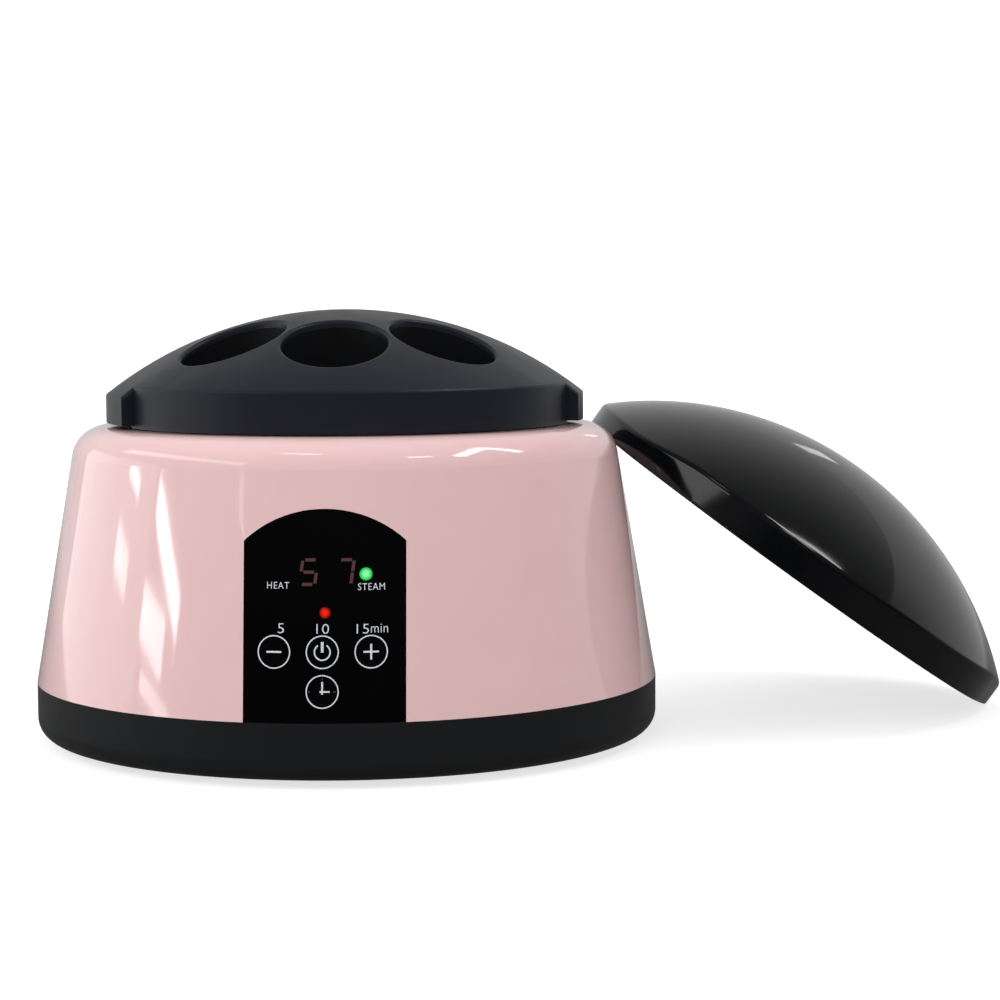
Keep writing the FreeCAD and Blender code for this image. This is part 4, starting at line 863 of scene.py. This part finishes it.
@dataclass
class ControlPanel(SubAssembly):
    """Smoked window with its print, four keys, two lit digits and two lit lamps."""

    coats: Coats = (
        (LENS_BLACK, "panel_lens"), (KEY_BLACK, "minus_key power_key plus_key timer_key"))
    face: TaperedFace = field(default_factory=TaperedFace)
    ring_radius: float = 5.08 * MM
    line: float = 0.38 * MM
    sign_line: float = 0.56 * MM
    inner_share: float = 0.8
    tick_ring: float = 3.95 * MM
    tick_long: float = 0.72 * MM
    tick_wide: float = 0.5 * MM
    print_lift: float = 0.05 * MM
    segment_lift: float = 0.03 * MM
    lamp_lift: float = 0.025 * MM
    lamp_rise: float = 0.22 * MM
    key_proud: float = 0.25 * MM
    digit_wide: float = 4.9 * MM
    digit_high: float = 7.7 * MM
    segment_line: float = 1.0 * MM
    segment_gap: float = 0.5 * MM
    digit_slant: float = 0.14
    digit_height: float = 69.0 * MM
    digits: tuple[tuple[str, str, float], ...] = (
        ("left_digit_glow", "ACDFG", -4.9 * MM), ("right_digit_glow", "ABC", 6.6 * MM))
    lit_lamps: tuple[tuple[str, LitWindow, float, float, float], ...] = (
        ("steam_glow", LED_GREEN, 13.3 * MM, 68.3 * MM, 2.05 * MM),
        ("ten_minute_glow", LED_RED, 0.3 * MM, 56.2 * MM, 1.75 * MM))
    signs: tuple[KeySign, ...] = (
        KeySign("minus_key", -16.0, 43.9, bars=((0.0, 0.0, 4.8, 0.56),)),
        KeySign("power_key", -0.5, 43.9, bars=((0.0, 1.55, 0.85, 3.3),),
                inner_radius=2.5, inner_gap=1.15),
        KeySign("plus_key", 15.0, 43.9, bars=((0.0, 0.0, 4.9, 0.56), (0.0, 0.0, 0.6, 4.9))),
        KeySign("timer_key", -0.5, 31.5,
                bars=((0.0, 1.15, 0.55, 3.9), (0.8, 0.0, 3.2, 0.5)), ticks=4))
    words: tuple[Letters, ...] = (
        Letters("heat_print", "HEAT", -18.3, -11.2, 63.75, 65.85, 1.15, -0.006),
        Letters("steam_print", "STEAM", 10.8, 19.3, 63.2, 65.4, 1.12, -0.006),
        Letters("five_print", "5", -14.8, -12.8, 49.75, 52.85, 1.0, -0.012),
        Letters("ten_print", "10", -2.4, 1.6, 49.65, 52.7, 1.05, -0.012),
        Letters("fifteen_print", "15", 10.4, 14.25, 49.6, 52.6, 1.05, -0.012),
        Letters("minutes_print", "min", 14.9, 20.3, 49.85, 52.6, 1.05, -0.008))

    def build(self) -> None:
        """Dress the window and the keys, and lay the print and the lights on them."""
        super().build()
        rings, bars, domes = ring_generator(), bar_generator(), lamp_generator()
        for sign in self.signs:
            self.print_key(sign, rings)
        for word in self.words:
            self.print_word(word)
        for name, lit, across in self.digits:
            self.light_digit(name, lit, across, bars)
        for name, finish, across, height, radius in self.lit_lamps:
            dome = domes.run(name, {"Radius": radius, "Rise": self.lamp_rise,
                                    "Finish": self.paints.of(finish)})
            self.face.wrap(dome, across, height, self.lamp_lift)
            self.add(name, dome, finish, "machine")

    def print_key(self, sign: KeySign, rings: Generator) -> None:
        """Print a key's sign, as one piece that moves with the key.

        Args:
            sign: what is printed.
            rings: the tree that makes rings.
        """
        name = sign.node.replace("_key", "_sign")
        circles = [(self.ring_radius, self.line, 0.0)]
        if sign.inner_radius:
            circles.append((sign.inner_radius * MM, self.sign_line * self.inner_share,
                            sign.inner_gap))
        long, wide = (self.tick_long, self.tick_wide) if sign.ticks else (NO_STROKE, NO_STROKE)
        whole = bmesh.new()
        for radius, line, gap in circles:
            part = rings.run(name, {
                "Radius": radius, "Line": line, "Gap": gap, "Stroke Ring": self.tick_ring,
                "Strokes": max(FEWEST_STROKES, sign.ticks), "Stroke Long": long,
                "Stroke Wide": wide, "Finish": self.paints.of(PRINT_WHITE)})
            whole.from_mesh(part)
            bpy.data.meshes.remove(part)
        for across, up, bar_wide, bar_high in sign.bars:
            corners = [(across + side * bar_wide / 2, up + rise * bar_high / 2)
                       for side, rise in ((-1, -1), (1, -1), (1, 1), (-1, 1))]
            whole.faces.new([whole.verts.new((x * MM, y * MM, 0.0)) for x, y in corners])
        specks = [face for face in whole.faces if face.calc_area() < SPECK_AREA]
        bmesh.ops.delete(whole, geom=specks, context="FACES")
        mesh = mesh_from(whole, name)
        self.face.wrap(mesh, sign.across * MM, sign.height * MM,
                       self.key_proud + self.print_lift)
        self.add(name, mesh, PRINT_WHITE, f"{sign.node}_body")

    def print_word(self, word: Letters) -> None:
        """Print a word or a number on the window.

        Args:
            word: the word and the box it fills.
        """
        curve = bpy.data.curves.new(word.name, "FONT")
        curve.body = word.text
        curve.space_character = word.spacing
        curve.offset = word.weight
        curve.resolution_u = LETTER_STEPS
        mesh = evaluated_mesh(word.name, object_of(word.name, curve))
        xs = [corner.co.x for corner in mesh.vertices]
        ys = [corner.co.y for corner in mesh.vertices]
        wide = (word.right - word.left) * MM / (max(xs) - min(xs))
        high = (word.top - word.foot) * MM / (max(ys) - min(ys))
        for corner in mesh.vertices:
            corner.co = ((corner.co.x - min(xs)) * wide, (corner.co.y - min(ys)) * high, 0.0)
        self.face.wrap(mesh, word.left * MM, word.foot * MM, self.print_lift)
        self.add(word.name, mesh, PRINT_WHITE, "machine")

    def light_digit(self, name: str, lit: str, across: float, bars: Generator) -> None:
        """Light some of a digit's seven bars.

        Args:
            name: the piece's name.
            lit: the letters of the lit bars, A at the top and then clockwise, G in the middle.
            across: where the digit's middle is.
            bars: the tree that lays bars.
        """
        side, half = self.digit_wide / 2, self.digit_high / 2
        spots = {"A": (0.0, half, 0.0), "B": (side, half / 2, 1.0), "C": (side, -half / 2, 1.0),
                 "D": (0.0, -half, 0.0), "E": (-side, -half / 2, 1.0),
                 "F": (-side, half / 2, 1.0), "G": (0.0, 0.0, 0.0)}
        mesh = bars.run(name, {
            "Long": half - self.segment_gap, "Wide": self.segment_line,
            "Slant": self.digit_slant, "Finish": self.paints.of(SEGMENT_DIM)},
            [spots[letter] for letter in lit])
        self.face.wrap(mesh, across, self.digit_height, self.segment_lift)
        self.add(name, mesh, SEGMENT_DIM, "machine")


@dataclass
class FingerCover(SubAssembly):
    """Black domed cover with five finger holes, and the sleeves under them."""

    coats: Coats = (
        # The sleeves' darker black is painted shade inside the finger holes.
        (COVER_BLACK, "finger_cover"), (SLEEVE_PAINTED_SHADE, "finger_sleeves"))


@dataclass
class Lid(SubAssembly):
    """Polished black lid that leans on the housing.

    It is a shell turned about its own axis: a short band under a dome, with two lobes that swell
    from the band where the finger cover's ears go.
    """

    band_radius: float = 88.3 * MM
    lobe_radius: float = 92.0 * MM
    band_high: float = 11.4 * MM
    wall: float = 2.4 * MM
    dome_radius: float = 133.1 * MM
    crease_round: float = 2.4 * MM
    inner_crease_round: float = 1.68 * MM
    rim_round: float = 0.8 * MM
    edge_support: float = 0.4 * MM
    lobe_turn: float = math.radians(17.2)
    lobe_full: float = math.radians(14.0)
    lobe_end: float = math.radians(38.0)
    tilt: float = math.radians(35.78)
    swing: float = math.radians(-0.5)
    middle: Triple = (162.862 * MM, 56.2 * MM, 54.09 * MM)
    steps_round: int = 288
    steps_dome: int = 30
    steps_crease: int = 8
    steps_rim: int = 4
    crease_step: float = 0.003

    def build(self) -> None:
        """Turn the shell, lean it and polish it."""
        shell = self.add("lid_shell", self.shell_mesh("lid_shell"), LID_BLACK, "lid_body")
        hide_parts("lid")

    def reach_at(self, azimuth: float) -> float:
        """Give the band's radius on one side.

        Args:
            azimuth: the side, turned about the lid's own axis.

        Returns:
            The radius, larger on the lobes.
        """
        off = abs((azimuth - self.lobe_turn + math.pi / 2) % math.pi - math.pi / 2)
        share = min(1.0, max(0.0, (off - self.lobe_full) / (self.lobe_end - self.lobe_full)))
        fade = share * share * (3.0 - 2.0 * share)
        return self.lobe_radius - (self.lobe_radius - self.band_radius) * fade

    def dome_centre(self) -> float:
        """Give the height of the dome's own centre."""
        return self.band_high - math.sqrt(self.dome_radius ** 2 - self.band_radius ** 2)

    def crown(self, reach: float, dome: float, rounding: float) -> list[Pair]:
        """Draw a band's upper edge, rounded, and the dome above it up to the axis.

        Args:
            reach: the band's radius.
            dome: the radius of the dome's sphere.
            rounding: the radius between band and dome.

        Returns:
            Radius and height of the points, from the band to the axis.
        """
        centre = self.dome_centre()
        across = reach - rounding
        height = centre + math.sqrt((dome - rounding) ** 2 - across ** 2)
        lean = math.atan2(height - centre, across)
        points = [(reach, height - self.edge_support)]
        for step in range(self.steps_crease + 1):
            angle = lean * step / self.steps_crease
            points.append((across + rounding * math.cos(angle),
                           height + rounding * math.sin(angle)))
        start = lean + self.crease_step
        for step in range(self.steps_dome):
            angle = start + (math.pi / 2 - start) * step / self.steps_dome
            points.append((dome * math.cos(angle), centre + dome * math.sin(angle)))
        return points

    def profile(self, azimuth: float) -> list[Pair]:
        """Draw the shell's section on one side, from the crest outside to the crest inside.

        Args:
            azimuth: the side.

        Returns:
            Radius and height of the points.
        """
        reach, inner = self.reach_at(azimuth), self.band_radius - self.wall
        bend = self.rim_round
        points = self.crown(reach, self.dome_radius, self.crease_round)[::-1]
        points.append((reach, bend + self.edge_support))
        quarter = [math.pi / 2 * step / self.steps_rim for step in range(self.steps_rim + 1)]
        for angle in quarter:
            points.append((reach - bend + bend * math.cos(angle), bend - bend * math.sin(angle)))
        for angle in reversed(quarter):
            points.append((inner + bend - bend * math.cos(angle), bend - bend * math.sin(angle)))
        points.extend(self.crown(inner, self.dome_radius - self.wall, self.inner_crease_round))
        return points

    def shell_mesh(self, name: str) -> Mesh:
        """Turn the section about the axis and lean the shell on the housing.

        Args:
            name: the mesh's name.

        Returns:
            The mesh, in place.
        """
        crest = self.dome_centre() + self.dome_radius
        shape = turned_shape([self.profile(2 * math.pi * turn / self.steps_round)
                              for turn in range(self.steps_round)], (crest, crest - self.wall))
        bmesh.ops.recalc_face_normals(shape, faces=shape.faces)
        shape.transform(Matrix.Translation(Vector(self.middle))
                        @ Matrix.Rotation(self.swing, 4, "Z")
                        @ Matrix.Rotation(self.tilt, 4, "Y"))
        return mesh_from(shape, name)


@dataclass
class SteamChamber(SubAssembly):
    """Water basin with its heater, and the parts that guard it."""

    coats: Coats = (
        (BASIN_STEEL, "water_basin heater_ring"), (RUBBER_BLACK, "basin_seal"),
        (HEATER_ALUMINIUM, "heater_plate thermostat"),
        (SCREW_STEEL, "heater_strap heater_screws"), (COMPONENT_WHITE, "thermal_fuse"))


@dataclass
class Electronics(SubAssembly):
    """Display board, power board, mains inlet and the leads between them."""

    coats: Coats = (
        (BOARD_GREEN, "display_board power_board"),
        (SCREW_STEEL, "display_board_screws power_board_screws"),
        (COMPONENT_BLACK, "tact_switches relay smoothing_capacitor"),
        (COMPONENT_GREY, "left_digit_display right_digit_display"),
        (LED_GREEN_BODY, "steam_led"), (LED_RED_BODY, "ten_minute_led"),
        (LED_CLEAR, "idle_leds"), (COMPONENT_WHITE, "display_plug ribbon_header"),
        (LEAD_GREY, "display_ribbon mains_leads heater_leads"),
        (COMPONENT_YELLOW, "transformer"), (COMPONENT_GREEN, "terminal_block"),
        (BASE_BLACK, "mains_inlet"), (PIN_BRASS, "inlet_pins"))


# ----------------------------------------------------------------- the studio
@dataclass(frozen=True)
class Panel:
    """A soft rectangular lamp, aimed at a place.

    The tip turns it about its own line, in degrees.
    """

    name: str
    place: Triple
    aim: Triple
    wide: float
    high: float
    watts: float
    tip: float = 0.0
    mirrored: bool = True


CASING_MIDDLE = (0.0, 0.0, 0.06)
CASING_RIGHT = (0.05, 0.0, 0.06)


@dataclass
class Studio:
    """Pale sweep, plain soft lamps and the camera.

    In light the room is bright at the left and dim at the right. In mirrors its ceiling is dim,
    and pales toward the back. The places are shares of a direction, from -1 to 1.
    """

    paints: Paints
    reach: float = 3.0
    wall_high: float = 1.6
    floor_middle: float = 0.02
    floor_drop: float = 0.2 * MM
    corner_round: float = 0.35
    steps_corner: int = 8
    steps_round: int = 96
    left_to_right: Pair = (-0.4, 1.0)
    ambient: Pair = (0.92, 0.1)
    middle_to_back: Pair = (0.1, 0.95)
    ceiling_mirror: float = 0.14
    back_mirror: float = 0.42
    camera_place: Triple = (67.9 * MM, -924.2 * MM, 161.9 * MM)
    heading: float = 0.0143
    pitch: float = 0.085
    roll: float = 0.005
    lens_mm: float = 93.6
    sensor_mm: float = 36.0
    lamps: tuple[Panel, ...] = (
        Panel("key_soft", (-1.5, -1.1, 1.2), CASING_MIDDLE, 1.2, 1.2, 9.0, mirrored=False),
        Panel("fill_soft", (0.0, -1.9, 0.9), CASING_MIDDLE, 1.2, 1.2, 7.5, mirrored=False),
        Panel("side_soft", (1.7, -0.45, 0.6), CASING_RIGHT, 0.4, 0.4, 4.5, mirrored=False),
        Panel("window_left", (-1.42, -0.55, 0.86), CASING_MIDDLE, 1.5, 0.5, 2.0,
              mirrored=False),
        Panel("window_high", (-1.42, -0.34, 1.13), (0.12, -0.01, 0.09), 2.2, 0.24, 3.0),
        Panel("room_left", (-1.55, 0.4, 0.3), (-0.05, 0.0, 0.06), 1.6, 0.6, 2.4),
        Panel("ceiling_right", (0.86, -0.26, 1.18), CASING_RIGHT, 0.56, 0.12, 2.4, tip=35.0),
        Panel("dome_streak", (1.0, 0.09, 1.2), (0.17, 0.0, 0.1), 0.12, 0.56, 1.6, tip=-6.0),
        Panel("back_streak", (0.83, 1.84, 0.84), (0.2, 0.0, 0.12), 0.1, 0.24, 0.1),
        Panel("ceiling_front", (0.63, -0.7, 1.16), CASING_RIGHT, 0.2, 0.08, 0.4),
        Panel("ceiling_left", (-0.27, -0.54, 1.37), CASING_MIDDLE, 0.28, 0.07, 0.4),
        Panel("top_soft", (0.0, 0.9, 1.9), CASING_RIGHT, 1.2, 1.2, 6.0, mirrored=False),
        Panel("pane_tall", (-1.35, -0.55, 0.288), (-0.05, -0.09, 0.08), 0.39, 0.044, 0.5,
              tip=-9.5),
        Panel("pane_low", (-1.394, -0.466, 0.217), (-0.06, -0.09, 0.05), 0.3, 0.05, 0.32),
        Panel("pane_high", (-1.468, -0.016, 0.294), (-0.065, -0.07, 0.097), 0.18, 0.022, 0.07),
        Panel("pane_sill", (-1.37, -0.555, 0.166), (-0.056, -0.09, 0.027), 0.36, 0.02, 0.1),
        Panel("pane_back", (-1.48, 0.04, 0.215), (-0.07, -0.075, 0.07), 0.22, 0.04, 0.11),
        Panel("pane_front", (-0.885, -1.145, 0.394), (-0.027, -0.095, 0.088), 0.045, 0.06, 0.016))

    def build(self) -> None:
        """Make the sweep, the room's own light, the lamps and the camera."""
        self.sweep()
        self.room()
        for panel in self.lamps:
            self.hang(panel)
        self.camera()

    def sweep(self) -> None:
        """Lay the floor and stand the wall round it."""
        inner = self.reach - self.corner_round
        profile = [(self.floor_middle, 0.0), (inner, 0.0)]
        for step in range(1, self.steps_corner + 1):
            angle = step / self.steps_corner * math.pi / 2
            profile.append((inner + self.corner_round * math.sin(angle),
                            self.corner_round - self.corner_round * math.cos(angle)))
        profile.append((self.reach, self.wall_high))
        lowered = [(radius, height - self.floor_drop) for radius, height in profile]
        shape = turned_shape([lowered] * self.steps_round, (-self.floor_drop,))
        obj = object_of("sweep", mesh_from(shape, "sweep"))
        # Matte white paint: the object's soft shadow falls on it.
        dress(obj, self.paints.of(Seamless("matte_paint_white", "B4B4B4", self.ceiling_mirror)))

    def room(self) -> None:
        """Set the world's light, for surfaces and for mirrors."""
        world = bpy.data.worlds.new("plain_room")
        bpy.context.scene.world = world
        world.use_nodes = True
        tree = world.node_tree
        tree.nodes.clear()
        rays = add_node(tree, "ShaderNodeLightPath")
        toward = add_node(tree, "ShaderNodeTexCoord").outputs["Generated"]
        parts = add_node(tree, "ShaderNodeSeparateXYZ", {"Vector": toward})
        grades = ((parts.outputs["X"], self.left_to_right, self.ambient),
                  (parts.outputs["Y"], self.middle_to_back,
                   (self.ceiling_mirror, self.ceiling_mirror + self.back_mirror)))
        ambient, ceiling = [
            add_node(tree, "ShaderNodeMapRange", {
                "Value": where, "From Min": start, "From Max": end, "To Min": low,
                "To Max": high}, interpolation_type="SMOOTHSTEP")
            for where, (start, end), (low, high) in grades]
        strength = add_node(tree, "ShaderNodeMix", {
            0: rays.outputs["Is Glossy Ray"], 2: ambient, 3: ceiling}, data_type="FLOAT")
        light = add_node(tree, "ShaderNodeBackground", {
            "Color": linear("FFFFFF"), "Strength": strength})
        add_node(tree, "ShaderNodeOutputWorld", {"Surface": light})

    def hang(self, panel: Panel) -> None:
        """Hang a lamp.

        Args:
            panel: the lamp.
        """
        lamp = bpy.data.lights.new(panel.name, "AREA")
        lamp.shape = "RECTANGLE"
        lamp.size, lamp.size_y = panel.wide, panel.high
        lamp.energy = panel.watts
        obj = object_of(panel.name, lamp)
        line = Vector(panel.aim) - Vector(panel.place)
        obj.matrix_world = (Matrix.Translation(Vector(panel.place))
                            @ line.to_track_quat("-Z", "Y").to_matrix().to_4x4()
                            @ Matrix.Rotation(math.radians(panel.tip), 4, "Z"))
        obj.visible_glossy = panel.mirrored
        obj.visible_camera = False

    def camera(self) -> None:
        """Stand the camera at the front, a little above the cover."""
        lens = bpy.data.cameras.new("front_view")
        lens.lens = self.lens_mm
        lens.sensor_width = self.sensor_mm
        lens.sensor_fit = "HORIZONTAL"
        obj = object_of("front_view", lens)
        obj.matrix_world = (Matrix.Translation(Vector(self.camera_place))
                            @ Matrix.Rotation(self.heading, 4, "Z")
                            @ Matrix.Rotation(math.pi / 2 - self.pitch, 4, "X")
                            @ Matrix.Rotation(-self.roll, 4, "Z"))
        bpy.context.scene.camera = obj


def main() -> None:
    """Load the frame, dress each sub-assembly and set the studio."""
    logging.basicConfig(level=logging.INFO, format="%(message)s")
    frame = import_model()
    paints = Paints()
    nodes = frame["nodes"]
    for part in (Casing, ControlPanel, FingerCover, Lid, SteamChamber, Electronics):
        LOG.info("building %s", part.__name__)
        part(paints, nodes).build()
    Studio(paints).build()
    # Colours show as they are written.
    bpy.context.scene.view_settings.view_transform = "Standard"


if __name__ == "__main__":
    main()
